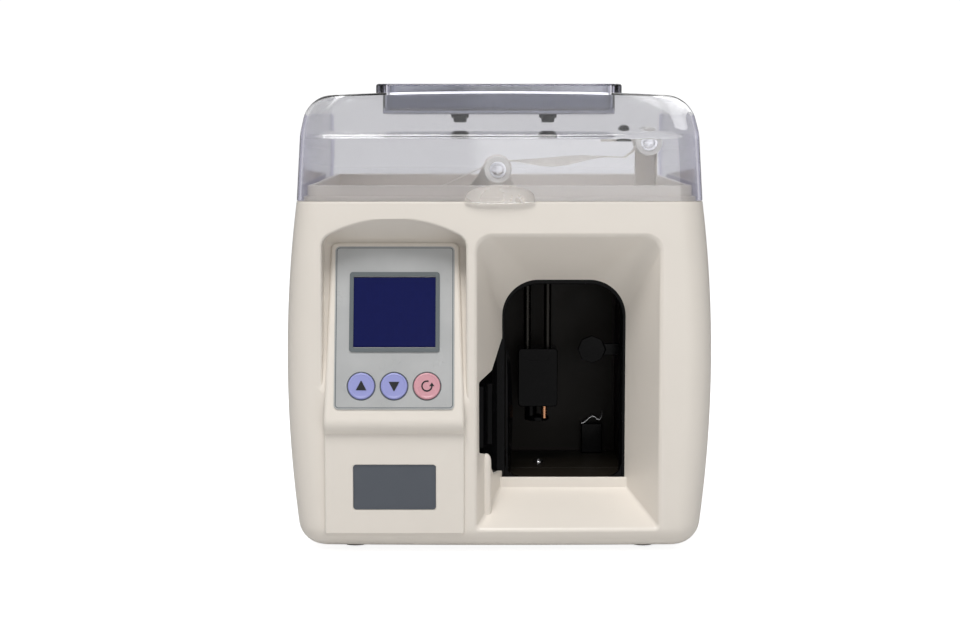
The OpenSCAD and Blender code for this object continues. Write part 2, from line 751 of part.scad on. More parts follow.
// Black guide behind the cut-out in the mouth's left wall
module side_guide() color(black) {
  y0 = -front_d + 5;
  x0 = mouth_left + (throat_left - mouth_left) * (y0 + front_d) / (throat_y + front_d) - wall - slack;
  x1 = throat_left - wall - slack;
  translate([0, 0, table_z + 4]) linear_extrude(cut_top + 3 - table_z)
    polygon([[x0 - 2, y0], [x0, y0], [x1, throat_y], [x1 - 2, throat_y]]);
  for (s = [0.25, 0.62]) {
    x = x0 + (x1 - x0) * s;
    y = y0 + (throat_y - y0) * s;
    translate([0, 0, cut_z0 + 2]) linear_extrude(cut_z1 - cut_z0 - 6)
      polygon([[x - 0.5, y - 1.5], [x + 2.2, y], [x + 1, y + 3], [x - 0.5, y + 3]]);
  }
}

// Note table, tape arch and what stands in the mouth
module note_table() color(black)
  block([arch_left + slack, arch_y0, table_z - table_t], [arch_right - slack, liner_y0 - slack, table_z]);
module table_screw() color(steel) difference() {
  union() {
    rod_z(screw_c, 1.5, table_z - table_t, table_z + 0.2);
    rod_z(screw_c, 3, table_z, table_z + 1.2);
  }
  rod_z(screw_c, 1.2, table_z + 0.5, table_z + 2);
}
module arch_outline(t) {
  r = arch_r + t;
  w = arch_w + 2 * t;
  translate([throat_mid - w / 2, frame_z]) square([w, arch_top - frame_z + t - r]);
  translate([throat_mid - w / 2 + r, arch_top - r - 1]) square([w - 2 * r, r + t + 1]);
  for (s = [-1, 1]) translate([throat_mid + s * (w / 2 - r), arch_top + t - r]) circle(r, $fn = 64);
}
module tape_arch() color(black) difference() {
  along_y(arch_y0, arch_y1) difference() {
    arch_outline(arch_wall);
    arch_outline(0);
  }
  along_y(tape_y - tape_w / 2 - 0.8, tape_y + tape_w / 2 + 0.8) arch_outline(2.5);
  block([throat_left - 20, arch_y0 - over, 0], [throat_right + 20, arch_y1 + over, table_z - table_t]);
}
module guide_blade() color([0.16, 0.16, 0.18]) translate([0, 0, table_z]) linear_extrude(blade_h)
  polygon([[arch_left + 1, arch_y0 + 1], [arch_left + 2.4, arch_y0 + 1], [arch_left + 4, arch_y0 + 10],
           [arch_left + 3, arch_y1 - 2], [arch_left + 1.6, arch_y1 - 2], [arch_left + 2.6, arch_y0 + 10]]);
module note_bay() color([0.13, 0.12, 0.10]) difference() {
  block([throat_left - liner_t, liner_y0, table_z - table_t],
        [throat_right + liner_t, liner_y1, throat_z1 - 1]);
  block([throat_left, liner_y0 - over, table_z],
        [throat_right, liner_y1 - liner_t, throat_z1 - 1 - liner_t]);
  for (x = press_x) rod_z([x, press_y], press_rod_r + 1, throat_z1 - 5, throat_z1 + 1);
  rod_z(screw_c, 1.5 + run, table_z - table_t - over, table_z + over);
}

// Press that holds the notes down, on two rods through the roof of the bay
module note_press() color(black) {
  block([press_x[0] - 6.5, press_y - 13, press_z0], [press_x[1] + 6.5, press_y + 13, press_z1]);
  mid = (press_x[0] + press_x[1]) / 2;
  rod_z([mid, press_y], 5, press_z0 - 8, press_z0 + over);
  rod_z([mid, press_y], 8, press_z0 - 11, press_z0 - 8);
}
module press_rods() color(steel) {
  top = roof_z + guide_h + press_travel + 4;
  for (x = press_x) rod_z([x, press_y], press_rod_r, press_z1, top);
  block([press_x[0] - 4, press_y - 5, top], [press_x[1] + 4, press_y + 5, top + 3]);
}
module press_guide() color(steel) difference() {
  block([press_x[0] - 8, press_y - 9, roof_z], [press_x[1] + 8, press_y + 9, roof_z + guide_h]);
  for (x = press_x) rod_z([x, press_y], press_rod_r + run, roof_z - over, roof_z + guide_h + over);
}
module side_stop() color(black) {
  along_y(liner_y0 + 6, liner_y0 + 10) translate(stop_c) circle(stop_r, $fn = 8);
  block([stop_c[0] + stop_r - 2.5, liner_y0 + 7, stop_c[1] - 4],
        [throat_right, liner_y0 + 9, stop_c[1] + 4]);
}
module clip_block() color(black)
  block([clip_x, liner_y1 - liner_t - 10, table_z], [clip_x + clip_w, liner_y1 - liner_t, table_z + clip_h]);
module clip_spring() color(steel) along_y(liner_y1 - liner_t - 9, liner_y1 - liner_t - 1)
  polygon([for (s = [0:8]) [clip_x + clip_w * s / 8, table_z + clip_h + 3.5 * (1 - cos(45 * s))],
           for (s = [8:-1:0]) [clip_x + clip_w * s / 8, table_z + clip_h + 0.6 + 3.5 * (1 - cos(45 * s))]]);

// Guide rollers above the deck, each on a screw in its bracket
module roller_drum(c) color(white) difference() {
  union() {
    rod_y(c, drum_r, roller_y0, roller_y1);
    rod_y(c, flange_r, roller_y0, roller_y0 + flange_t);
    rod_y(c, flange_r, roller_y1 - flange_t, roller_y1);
  }
  rod_y(c, axle_r + run, roller_y0 - over, roller_y1 + over);
  rod_y(c, 4.5, roller_y0 - over, roller_y0 + 1);
}
module axle_screw(c) color(steel) difference() {
  union() {
    rod_y(c, axle_r, roller_y0 - 0.6, bracket_y + bracket_t);
    rod_y(c, 4, roller_y0 - 1.8, roller_y0 - 0.2);
  }
  block([c[0] - 2.6, roller_y0 - 3, c[1] - 0.5], [c[0] + 2.6, roller_y0 - 1, c[1] + 0.5]);
  block([c[0] - 0.5, roller_y0 - 3, c[1] - 2.6], [c[0] + 0.5, roller_y0 - 1, c[1] + 2.6]);
}
module mid_roller_drum() roller_drum(mid_roller);
module end_roller_drum() roller_drum(end_roller);
module mid_axle_screw() axle_screw(mid_roller);
module end_axle_screw() axle_screw(end_roller);
module mid_bracket() color(ivory) difference() {
  along_y(bracket_y, bracket_y + bracket_t) {
    translate(mid_roller) circle(8);
    polygon([[mid_roller[0] - 22, seam_z], [mid_roller[0] + 16, seam_z], [mid_roller[0] + 13, seam_z + 5],
             [mid_roller[0] + 7, mid_roller[1] + 4], [mid_roller[0] - 7, mid_roller[1] + 4],
             [mid_roller[0] - 20, seam_z + 4]]);
  }
  rod_y(mid_roller, axle_r + run, bracket_y - over, bracket_y + bracket_t + over);
}
module end_bracket() color(ivory) difference() {
  along_y(bracket_y, bracket_y + bracket_t) {
    translate(end_roller) circle(7);
    translate([end_roller[0] - 7, seam_z]) square([14, end_roller[1] - seam_z]);
    translate([end_roller[0] - 30, end_roller[1] + 1]) square([30, 5]);
    translate([end_roller[0] - 10, seam_z]) square([20, 3]);
  }
  rod_y(end_roller, axle_r + run, bracket_y - over, bracket_y + bracket_t + over);
}
module tape_sensor() color(black) {
  c = [end_roller[0] - 15, end_roller[1] + 6];
  intersection() {
    rod_y(c, 4, bracket_y - 7, bracket_y + bracket_t);
    block([c[0] - 5, bracket_y - 8, c[1]], [c[0] + 5, bracket_y + 8, c[1] + 5]);
  }
  block([c[0] - 5, bracket_y - 8, c[1] - 5], [c[0] + 5, bracket_y - slack, c[1] - 1]);
  block([c[0] - 4, bracket_y - 8, c[1] - 1], [c[0] + 4, bracket_y - slack, c[1]]);
}

// Tape roll on its hub
module paper_roll() color(white) difference() {
  rod_y(roll_c, roll_r, tape_y - tape_w / 2, tape_y + tape_w / 2, $fn = 96);
  rod_y(roll_c, core_r, tape_y - tape_w, tape_y + tape_w);
}
module roll_hub() color([0.2, 0.3, 0.55]) difference() {
  union() {
    rod_y(roll_c, hub_r, hub_y0, hub_y1);
    rod_y(roll_c, core_r + 8, tape_y + tape_w / 2 + slack, hub_y1);
  }
  rod_y(roll_c, spindle_r + run, hub_y0 - over, hub_y1 + over);
  for (k = [0:5]) rod_y(roll_c + 13 * [cos(60 * k), sin(60 * k)], 4, hub_y0 - over, hub_y1 - 2);
}
module roll_spindle() color(steel) {
  rod_y(roll_c, spindle_r, hub_y0 - 4, frame_y + frame_t);
  rod_y(roll_c, spindle_r + 3, hub_y0 - 5.5, hub_y0 - slack);
  rod_y(roll_c, spindle_r + 4, hub_y1 + slack, frame_y);
}

// Tape: off the roll, over both guide rollers, round the feed roller, and left under the arch
function polar(c, r, a) = c + r * [cos(a), sin(a)];
function tape_path() =
  let (d = mid_roller - roll_c,
       a = atan2(d[1], d[0]) + acos((roll_r - drum_r) / norm(d)),
       drop = [end_roller[0] + turn_r, end_roller[1] - 4])
  concat([polar(roll_c, roll_r + tape_gap + tape_t / 2, a)],
         [for (k = [0:3]) polar(mid_roller, turn_r, a + (82 - a) * k / 3)],
         [for (k = [1:5]) mid_roller + [14 * k, turn_r + 3 * k / 5 - 1.6 * sin(36 * k)]],
         [end_roller + [-15, -10], end_roller + [-9.5, -6]],
         [for (k = [0:6]) polar(end_roller, turn_r, 170 - 170 * k / 6)],
         [for (k = [0:6]) polar(feed_c, feed_turn_r, -90 * k / 6)],
         [[arch_right + 1, feed_c[1] - feed_turn_r]]);
function band(p, t) =
  let (n = len(p),
       dir = [for (i = [0:n - 1]) let (d = p[min(i + 1, n - 1)] - p[max(i - 1, 0)]) d / norm(d)])
  concat([for (i = [0:n - 1]) p[i] + t / 2 * [-dir[i][1], dir[i][0]]],
         [for (i = [n - 1:-1:0]) p[i] - t / 2 * [-dir[i][1], dir[i][0]]]);
module tape_strip() color(white) along_y(tape_y - tape_w / 2, tape_y + tape_w / 2)
  polygon(band(tape_path(), tape_t));

// Feed roller, its gear and motor, and the sprung pinch roller
function gear_points(n, m) =
  [for (i = [0:n - 1], k = [0:3])
    let (a = 360 / n * (i + [-0.32, -0.13, 0.13, 0.32][k]), out = k == 1 || k == 2,
         r = m * (n / 2 + (out ? 0.9 : -1.15)))
    r * [cos(a), sin(a)]];
module feed_shaft() color(steel) rod_y(feed_c, feed_shaft_r, throat_y - 1, frame_y + frame_t);
module feed_roller() color([0.15, 0.15, 0.15]) difference() {
  rod_y(feed_c, feed_r, tape_y - tape_w / 2 + 1, tape_y + tape_w / 2 - 1);
  rod_y(feed_c, feed_shaft_r, throat_y, frame_y);
}
module feed_gear() color(white) difference() {
  translate([feed_c[0], gear_y1, feed_c[1]]) rotate([90, 0, 0]) rotate([0, 0, gear_dir])
    linear_extrude(gear_t) polygon(gear_points(feed_teeth, gear_m));
  rod_y(feed_c, feed_shaft_r, throat_y, frame_y);
}
module motor_pinion() color([0.85, 0.72, 0.35]) {
  translate([motor_c[0], gear_y1, motor_c[1]]) rotate([90, 0, 0])
    rotate([0, 0, gear_dir + 180 + 180 / pinion_teeth]) linear_extrude(gear_t)
      polygon(gear_points(pinion_teeth, gear_m));
  rod_y(motor_c, 1.5, gear_y1, frame_y + frame_t + 6);
}
module feed_motor() color(steel) difference() {
  union() {
    rod_y(motor_c, motor_r, liner_y0, liner_y0 + motor_len);
    rod_y(motor_c, 5, liner_y0 + motor_len, liner_y0 + motor_len + 3);
  }
  rod_y(motor_c, 1.5 + run, liner_y0 - over, liner_y0 + 8);
}
module arm_outline() {
  d = pinch_c - arm_pivot;
  translate(arm_pivot) circle(5);
  translate(pinch_c) circle(4);
  translate(arm_pivot) rotate(atan2(d[1], d[0])) translate([0, -3.5]) square([norm(d), 7]);
}
module pinch_arm() color(steel) difference() {
  union() {
    along_y(arm_y0, arm_y0 + arm_t) arm_outline();
    rod_y(pinch_c, pinch_axle_r, arm_y0, tape_y + tape_w / 2 + 1);
    rod_y(arm_pivot, 4.5, arm_y0, frame_y - 5);
  }
  rod_y(arm_pivot, arm_pivot_r + run, arm_y0 - over, frame_y);
}
module pinch_pivot() color(steel) {
  rod_y(arm_pivot, arm_pivot_r, arm_y0 - 1.5, frame_y + frame_t);
  rod_y(arm_pivot, 4, arm_y0 - 2, arm_y0 - slack);
}
module pinch_roller_drum() color(black) difference() {
  rod_y(pinch_c, pinch_r, tape_y - tape_w / 2 + 1, tape_y + tape_w / 2);
  rod_y(pinch_c, pinch_axle_r + run, throat_y, frame_y);
}

// Sealing head: four followers on one camshaft
module head_frame() color(steel) difference() {
  union() {
    block([head_x0, head_y0, frame_z], [head_x1, head_y0 + head_wall, head_z1]);
    block([head_x0, head_y1 - head_wall, frame_z], [head_x1, head_y1, head_z1]);
    block([head_x0, head_y0, frame_z], [head_x0 + 3, head_y1, head_z1]);
    block([head_x1 - 3, head_y0, frame_z], [head_x1, head_y1, head_z1]);
  }
  rod_x(cam_c, cam_shaft_r + run, head_x0 - over, head_x1 + over);
}
// Cam: rises by the lift over the cam turn, falls over the next part and then dwells
function cam_radius(a) =
  a <= cam_turn ? cam_r + lift * a / cam_turn
  : a <= cam_turn + cam_fall ? cam_r + lift * (cam_turn + cam_fall - a) / cam_fall
  : cam_r;
module cam_outline() {
  polygon([for (a = [0:6:354]) cam_radius(a) * [cos(90 - a), sin(90 - a)]]);
}
module cam_shaft() color(steel) {
  rod_x(cam_c, cam_shaft_r, head_x0 - 4, head_x1 + 1.5);
  for (x = [grip_x[0], heat_x, cut_x, grip_x[1]])
    along_x(x - cam_t / 2, x + cam_t / 2) translate(cam_c) cam_outline();
}
module cam_motor() color(steel) difference() {
  union() {
    rod_x(cam_c, 10, head_x0 - 46, head_x0 - slack);
    block([head_x0 - 12, cam_c[0] - 10, frame_z], [head_x0 - slack, cam_c[0] + 10, cam_z]);
    block([head_x0 - 44, cam_c[0] - 10, frame_z], [head_x0 - 36, cam_c[0] + 10, cam_z]);
  }
  rod_x(cam_c, cam_shaft_r + run, head_x0 - 6, head_x0 + over);
}
module follower(x, w) {
  block([x - w / 2, follower_y0, follower_z0], [x + w / 2, follower_y1, follower_z1]);
}
module left_gripper() color(steel) follower(grip_x[0], 12);
module right_gripper() color(steel) follower(grip_x[1], 12);
module heater_block() color([0.75, 0.45, 0.28]) follower(heat_x, 16);
module cutter_blade() color([0.85, 0.86, 0.88]) {
  block([cut_x - 2, follower_y0, follower_z0], [cut_x + 2, follower_y1, follower_z1 - 6]);
  along_y(follower_y0 + 1, follower_y1 - 1)
    polygon([[cut_x - 1, follower_z1 - 7], [cut_x + 1, follower_z1 - 7], [cut_x + 1, follower_z1 - 2],
             [cut_x - 1, follower_z1]]);
}

// Electrics
module standing(c, w, d, z0, z1) {
  block([c[0] - w / 2, c[1] - d / 2, z0], [c[0] + w / 2, c[1] + d / 2, z1]);
}
module power_supply() color([0.65, 0.66, 0.68]) {
  standing(supply_c, supply_w + 2 * supply_flange, supply_d + 2 * supply_foot, frame_z, frame_z + 3);
  standing(supply_c, supply_w, supply_d, frame_z + 3, frame_z + 3 + supply_h);
}
module main_board() color([0.10, 0.35, 0.20]) {
  top = main_z + board_t;
  for (x = [-1, 1], y = [-1, 1])
    rod_z(main_c + [x * (main_w / 2 - pillar_in), y * (main_d / 2 - pillar_in)], 3, frame_z, main_z);
  standing(main_c, main_w, main_d, main_z, top);
  standing(main_c + [-21, -18], 24, 30, top, top + 4.4);
  standing(main_c + [19, -34], 28, 10, top, top + 10.4);
  for (k = [-1:1]) rod_z(main_c + [21 + can_pitch * k, 21], 5, top, top + 14);
}
module power_inlet() color(black) difference() {
  rear_outline(inlet_c, inlet_w, inlet_h, rear_d - 18, rear_d + 0.5);
  rear_outline(inlet_c, inlet_w - 4, inlet_h - 5, rear_d - 15, rear_d + over);
}
// Rocker switch: the rocker turns on a pin in its body
module switch_body() color(black) {
  difference() {
    rear_outline(rocker_c, rocker_w, rocker_h, rear_d - 17, rear_d - 1);
    rear_outline(rocker_c, rocker_w - 2 * rocker_wall, rocker_h - 2 * rocker_wall, rear_d - 15, rear_d);
  }
  rod_x([rocker_y, rocker_c[1]], rocker_pin_r, rocker_c[0] - rocker_w / 2 + 1, rocker_c[0] + rocker_w / 2 - 1);
}
module power_switch() color([0.75, 0.12, 0.10]) difference() {
  intersection() {
    rod_x([rocker_y, rocker_c[1]], rocker_r, rocker_c[0] - rocker_w / 2 + rocker_wall + slack,
          rocker_c[0] + rocker_w / 2 - rocker_wall - slack);
    block([rocker_c[0] - rocker_w, rocker_y - rocker_back, rocker_c[1] - rocker_half],
          [rocker_c[0] + rocker_w, rear_d + 5, rocker_c[1] + rocker_half]);
  }
  rod_x([rocker_y, rocker_c[1]], rocker_pin_r + run, rocker_c[0] - rocker_w, rocker_c[0] + rocker_w);
}

front_housing();
rear_housing();
top_deck();
base_plate();
rubber_feet();
foot_screws();
chassis_plate();
top_cover();
hinge_pins();
panel_overlay();
display_bezel();
display_window();
up_button();
down_button();
clear_button();
control_board();
name_plate();
side_guide();
note_table();
table_screw();
tape_arch();
guide_blade();
note_bay();
note_press();
press_rods();
press_guide();
side_stop();
clip_block();
clip_spring();
mid_bracket();
mid_roller_drum();
mid_axle_screw();
end_bracket();
end_roller_drum();
end_axle_screw();
tape_sensor();
roll_spindle();
roll_hub();
paper_roll();
tape_strip();
feed_shaft();
feed_roller();
feed_gear();
motor_pinion();
feed_motor();
pinch_arm();
pinch_pivot();
pinch_roller_drum();
head_frame();
cam_shaft();
cam_motor();
left_gripper();
heater_block();
cutter_blade();
right_gripper();
power_supply();
main_board();
power_inlet();
switch_body();
power_switch();
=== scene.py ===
# %% [markdown]
# # A banknote strapping machine in Blender
# The solids of the machine come ready made: sixty rigid parts, packed as one model.
# This lesson dresses them. Each big moulding is made again with fine curves and soft edges,
# each small part gets soft edges, and every surface gets a procedural finish.
# Sizes are in millimetres in the code and become metres when a mesh is made.

import json
import math

import bmesh
import bpy
from mathutils import Matrix, Vector

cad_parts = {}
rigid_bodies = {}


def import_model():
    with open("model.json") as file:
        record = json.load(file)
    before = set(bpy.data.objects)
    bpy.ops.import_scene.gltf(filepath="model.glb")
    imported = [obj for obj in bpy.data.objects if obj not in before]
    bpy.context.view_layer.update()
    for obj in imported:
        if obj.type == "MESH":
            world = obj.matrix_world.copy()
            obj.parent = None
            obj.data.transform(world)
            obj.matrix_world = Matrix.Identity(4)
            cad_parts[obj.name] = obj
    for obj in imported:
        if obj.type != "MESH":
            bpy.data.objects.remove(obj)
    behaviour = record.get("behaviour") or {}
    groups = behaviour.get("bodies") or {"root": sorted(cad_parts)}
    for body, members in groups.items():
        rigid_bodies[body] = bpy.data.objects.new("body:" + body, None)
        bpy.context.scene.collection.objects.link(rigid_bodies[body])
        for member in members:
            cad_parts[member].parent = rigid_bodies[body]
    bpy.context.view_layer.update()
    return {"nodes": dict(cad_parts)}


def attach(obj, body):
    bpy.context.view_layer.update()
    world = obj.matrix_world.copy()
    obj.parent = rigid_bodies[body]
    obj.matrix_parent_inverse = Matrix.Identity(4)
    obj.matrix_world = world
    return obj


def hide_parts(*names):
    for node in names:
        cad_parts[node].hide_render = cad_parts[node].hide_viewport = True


for leftover in list(bpy.data.objects):
    bpy.data.objects.remove(leftover)
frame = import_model()

# %% [markdown]
# A few small helpers turn lists of points into objects. Every piece is a mesh whose points are
# already in place, so each object stays at the origin, unturned and unscaled.

# %% Helpers that make meshes
MM = 0.001


def new_object(name, points, faces):
    mesh = bpy.data.meshes.new(name)
    mesh.from_pydata([tuple(c * MM for c in p) for p in points], [], faces)
    made = bpy.data.objects.new(name, mesh)
    bpy.context.scene.collection.objects.link(made)
    return made


def outward(made, move=None, dist=1e-6):
    """Merges doubled points and turns all normals outward; a moved mesh gets flat faces again."""
    b = bmesh.new()
    b.from_mesh(made.data)
    if move:
        b.transform(move)
    bmesh.ops.remove_doubles(b, verts=b.verts, dist=dist)
    if move:
        bmesh.ops.dissolve_limit(b, angle_limit=math.radians(0.6), verts=b.verts, edges=b.edges)
    bmesh.ops.recalc_face_normals(b, faces=b.faces)
    b.to_mesh(made.data)
    b.free()
    return made


def ring_faces(count, around, loop=False, strip=False):
    """Faces between rings. A loop joins the last ring to the first, a strip leaves rings open."""
    return [(k * around + i, k * around + (i + 1) % around,
             (k + 1) % count * around + (i + 1) % around, (k + 1) % count * around + i)
            for k in range(count if loop else count - 1)
            for i in range(around - 1 if strip else around)]


def stacked_rings(name, rings):
    """A closed solid skinned over rings that all have the same number of points."""
    count, around = len(rings), len(rings[0])
    ends = [tuple(range(around)), tuple((count - 1) * around + i for i in range(around))]
    return outward(new_object(name, sum(rings, []), ring_faces(count, around) + ends))


def looped_rings(name, rings):
    """Rings whose last one joins the first, such as a moulded rim or a bored roller."""
    faces = ring_faces(len(rings), len(rings[0]), loop=True)
    return outward(new_object(name, sum(rings, []), faces))


ALONG = {"x": lambda a, b, s: (s, a, b), "y": lambda a, b, s: (a, s, b),
         "z": lambda a, b, s: (a, b, s)}


def bar(name, outline, start, end, axis="y"):
    """An outline carried straight along an axis: XZ along Y, YZ along X or XY along Z."""
    return stacked_rings(name, [[ALONG[axis](a, b, s) for a, b in outline] for s in (start, end)])


# %% [markdown]
# Most sections of the machine are arcs and straight runs, so an outline is a plain list of
# pairs. A quarter gives the steps of a rounded edge, and turned spins a profile as a lathe
# would, which is the shortest way to rollers, screws and feet.

# %% Helpers that draw outlines
def cosd(a):
    return math.cos(math.radians(a))


def sind(a):
    return math.sin(math.radians(a))


def polar(c, r, a):
    return c[0] + r * cosd(a), c[1] + r * sind(a)


def arc(cx, cy, r, start, end, steps):
    return [polar((cx, cy), r, start + (end - start) * i / steps) for i in range(steps + 1)]


def circle(r, steps):
    return [(r * math.cos(2 * math.pi * i / steps), r * math.sin(2 * math.pi * i / steps))
            for i in range(steps)]


def rectangle(x0, y0, x1, y1):
    return [(x0, y0), (x1, y0), (x1, y1), (x0, y1)]


def rounded_rectangle(cx, cy, w, h, r, steps=8):
    x, y = w / 2 - r, h / 2 - r
    return (arc(cx + x, cy + y, r, 0, 90, steps) + arc(cx - x, cy + y, r, 90, 180, steps)
            + arc(cx - x, cy - y, r, 180, 270, steps) + arc(cx + x, cy - y, r, 270, 360, steps))


def quarter(r, angles):
    """How far in and how far down a rounded edge is at each angle."""
    return [(r * (1 - sind(a)), r * (1 - cosd(a)))
            for a in angles]


def turned(name, profile, centre=(0, 0), bored=False, steps=64, axis="y"):
    """A profile of (radius, along) turned round an axis; a bored one closes on itself."""
    rings = [[ALONG[axis](centre[0] + a, centre[1] + b, s) for a, b in circle(r, steps)]
             for r, s in profile]
    return looped_rings(name, rings) if bored else stacked_rings(name, rings)


# %% [markdown]
# Cuts and joins are booleans, and a bevel rounds what is sharp. Each modifier is applied at
# once, so the next cut meets a plain mesh and nothing depends on the order of a stack. A
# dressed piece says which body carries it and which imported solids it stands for.

# %% Helpers that shape meshes
def apply_modifiers(made):
    """Turns an object and its modifiers into one plain mesh."""
    bpy.context.view_layer.update()
    graph = bpy.context.evaluated_depsgraph_get()
    mesh = bpy.data.meshes.new_from_object(made.evaluated_get(graph), depsgraph=graph)
    made.modifiers.clear()
    old, made.data = made.data, mesh
    bpy.data.meshes.remove(old)
    return made


def modify(made, kind, **settings):
    change = made.modifiers.new(kind, kind)
    for name, value in settings.items():
        setattr(change, name, value)
    return apply_modifiers(made)


def combine(made, tool, how="DIFFERENCE"):
    """Cuts or joins made with another closed mesh, which is used up."""
    modify(made, "BOOLEAN", operation=how, solver="MANIFOLD", object=tool)
    bpy.data.objects.remove(tool)
    return made


def soften(made, width, segments=3, angle=30):
    """Rounds every edge that is sharper than the angle."""
    return modify(made, "BEVEL", width=width * MM, segments=segments, limit_method="ANGLE",
                  angle_limit=math.radians(angle), use_clamp_overlap=True)


def smooth(made, angle=32):
    """Smooth shading, except over edges sharper than the angle."""
    made.data.polygons.foreach_set("use_smooth", [True] * len(made.data.polygons))
    made.data.set_sharp_from_angle(angle=math.radians(angle))
    return modify(made, "WEIGHTED_NORMAL", keep_sharp=True)


def dress(made, body, slot_name, finish, *nodes):
    """Gives a piece its finish and its place on a body, and hides the solids it stands for."""
    if finish:
        made.data.materials.clear()
        made.data.materials.append(finish)
    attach(made, body)
    if nodes:
        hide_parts(*nodes)
    return made


# %% [markdown]
# ## Finishes
# Moulded plastic is never one flat colour. It has a fine spark-eroded grain, a slow drift in
# its tint, and patches where handling has polished it. One function makes all the plastics from
# those three noises, so that only their strength differs from piece to piece.

# %% Helpers for node materials
def start_material(name):
    finish = bpy.data.materials.new(name)
    finish.use_nodes = True
    tree = finish.node_tree
    place = tree.nodes.new("ShaderNodeTexCoord")
    return finish, tree, tree.nodes["Principled BSDF"], place.outputs["Object"]


def set_inputs(tree, made, values):
    """Gives a node's inputs a value each, or a link from the output of another node."""
    for name, value in values.items():
        if isinstance(value, bpy.types.NodeSocket):
            tree.links.new(value, made.inputs[name])
        else:
            made.inputs[name].default_value = value
    return made


def add_node(tree, kind, values, **settings):
    made = tree.nodes.new(kind)
    for name, value in settings.items():
        setattr(made, name, value)
    return set_inputs(tree, made, values)


def noise(tree, place, scale, detail=3.0, stretch=None):
    if stretch:
        longer = add_node(tree, "ShaderNodeMapping", {"Scale": stretch, "Vector": place})
        place = longer.outputs["Vector"]
    return add_node(tree, "ShaderNodeTexNoise", {"Scale": scale, "Detail": detail,
                                                 "Vector": place}).outputs["Fac"]


def ranged(tree, value, low, high, start=0.3, end=0.7):
    return add_node(tree, "ShaderNodeMapRange", {
        "From Min": start, "From Max": end, "To Min": low, "To Max": high,
        "Value": value}).outputs["Result"]


def mixed(tree, amount, one, two):
    return add_node(tree, "ShaderNodeMix", {"A": (*one, 1), "B": (*two, 1), "Factor": amount},
                    data_type="RGBA").outputs["Result"]


def bump(tree, shader, value, strength, depth):
    relief = add_node(tree, "ShaderNodeBump", {"Strength": strength, "Distance": depth,
                                               "Height": value})
    tree.links.new(relief.outputs["Normal"], shader.inputs["Normal"])


# %% Moulded plastics
def plastic(name, tint, rough, grain=1800, relief=0.15, drift=0.05, shine=0.5):
    finish, tree, shader, place = start_material(name)
    darker = [c * (1 - drift) for c in tint]
    lighter = [min(1, c * (1 + drift * 0.5)) for c in tint]
    slow, patches = noise(tree, place, 14, 4), noise(tree, place, 45, 5)
    set_inputs(tree, shader, {
        "Base Color": mixed(tree, ranged(tree, slow, 0, 1), darker, lighter),
        "Roughness": ranged(tree, patches, rough * 0.85, rough * 1.15),
        "Specular IOR Level": shine})
    bump(tree, shader, noise(tree, place, grain, 2), relief, 0.00004)
    return finish


IVORY = plastic("ivory moulding", (0.80, 0.752, 0.690), 0.34, relief=0.12, drift=0.015)
LINER = plastic("dull dark moulding", (0.016, 0.013, 0.010), 0.36, relief=0.25, drift=0.2,
                shine=0.12)
BLACK = plastic("black moulding", (0.0025, 0.0025, 0.003), 0.17, relief=0.08, drift=0.2,
                shine=0.10)
WHITE = plastic("white roller plastic", (0.78, 0.77, 0.74), 0.38, drift=0.02)
LILAC = plastic("lilac key", (0.315, 0.335, 0.66), 0.30, drift=0.03)
PINK = plastic("pink key", (0.66, 0.335, 0.385), 0.30, drift=0.03)
BEZEL = plastic("display surround", (0.125, 0.145, 0.155), 0.36, drift=0.06)
PLATE = plastic("grey plate film", (0.082, 0.094, 0.115), 0.33, grain=900, drift=0.05)
HUB = plastic("blue hub plastic", (0.03, 0.07, 0.26), 0.35, drift=0.05)
RED = plastic("red rocker plastic", (0.40, 0.012, 0.012), 0.22, drift=0.05)
RUBBER = plastic("dull rubber", (0.012, 0.012, 0.012), 0.62, grain=700, relief=0.4, drift=0.3)
PRINT = plastic("black print", (0.008, 0.008, 0.010), 0.40, drift=0.1)
print("materials so far:", len(bpy.data.materials))

# %% [markdown]
# Metals need streaks instead of grain. A noise stretched along one axis gives the fine lines
# of rolled sheet or of a turned shaft.

# %% Metals
def metal(name, tint, rough, stretch=(30, 900, 900), relief=0.12):
    finish, tree, shader, place = start_material(name)
    streaks = noise(tree, place, 1, 3, stretch)
    darker = [c * 0.86 for c in tint]
    set_inputs(tree, shader, {
        "Base Color": mixed(tree, ranged(tree, streaks, 0, 1), darker, tint),
        "Roughness": ranged(tree, streaks, rough * 0.7, rough * 1.3), "Metallic": 1.0})
    bump(tree, shader, streaks, relief, 0.00002)
    return finish


STEEL = metal("bright turned steel", (0.66, 0.66, 0.68), 0.24)
SHEET = metal("zinc plated sheet", (0.52, 0.54, 0.56), 0.38, (12, 12, 500))
COPPER = metal("worn copper", (0.72, 0.36, 0.20), 0.30)
DARK_STEEL = metal("blackened steel", (0.035, 0.033, 0.030), 0.34)
BRASS = metal("brass", (0.76, 0.56, 0.24), 0.28)
print("with metals:", len(bpy.data.materials))

# %% [markdown]
# The cover is clear acrylic with a slight smoke. A clear solid shows its tint where the light
# passes through much of it, at the edges. Here that darkness is painted shade: the edges get a
# darker copy of the acrylic, as does the tray, and the finger lip gets a lighter copy as a painted
# highlight.

# %% Clear plastic, display, paper and board
ACRYLIC_IOR = 1.49


def clear_plastic(name, tint, rough):
    finish, tree, shader, place = start_material(name)
    scuffs = noise(tree, place, 60, 6)
    set_inputs(tree, shader, {
        "Base Color": (*tint, 1), "Transmission Weight": 1.0, "IOR": ACRYLIC_IOR,
        "Roughness": ranged(tree, scuffs, rough * 0.5, rough * 1.8)})
    bump(tree, shader, noise(tree, place, 25, 2), 0.05, 0.0002)
    return finish


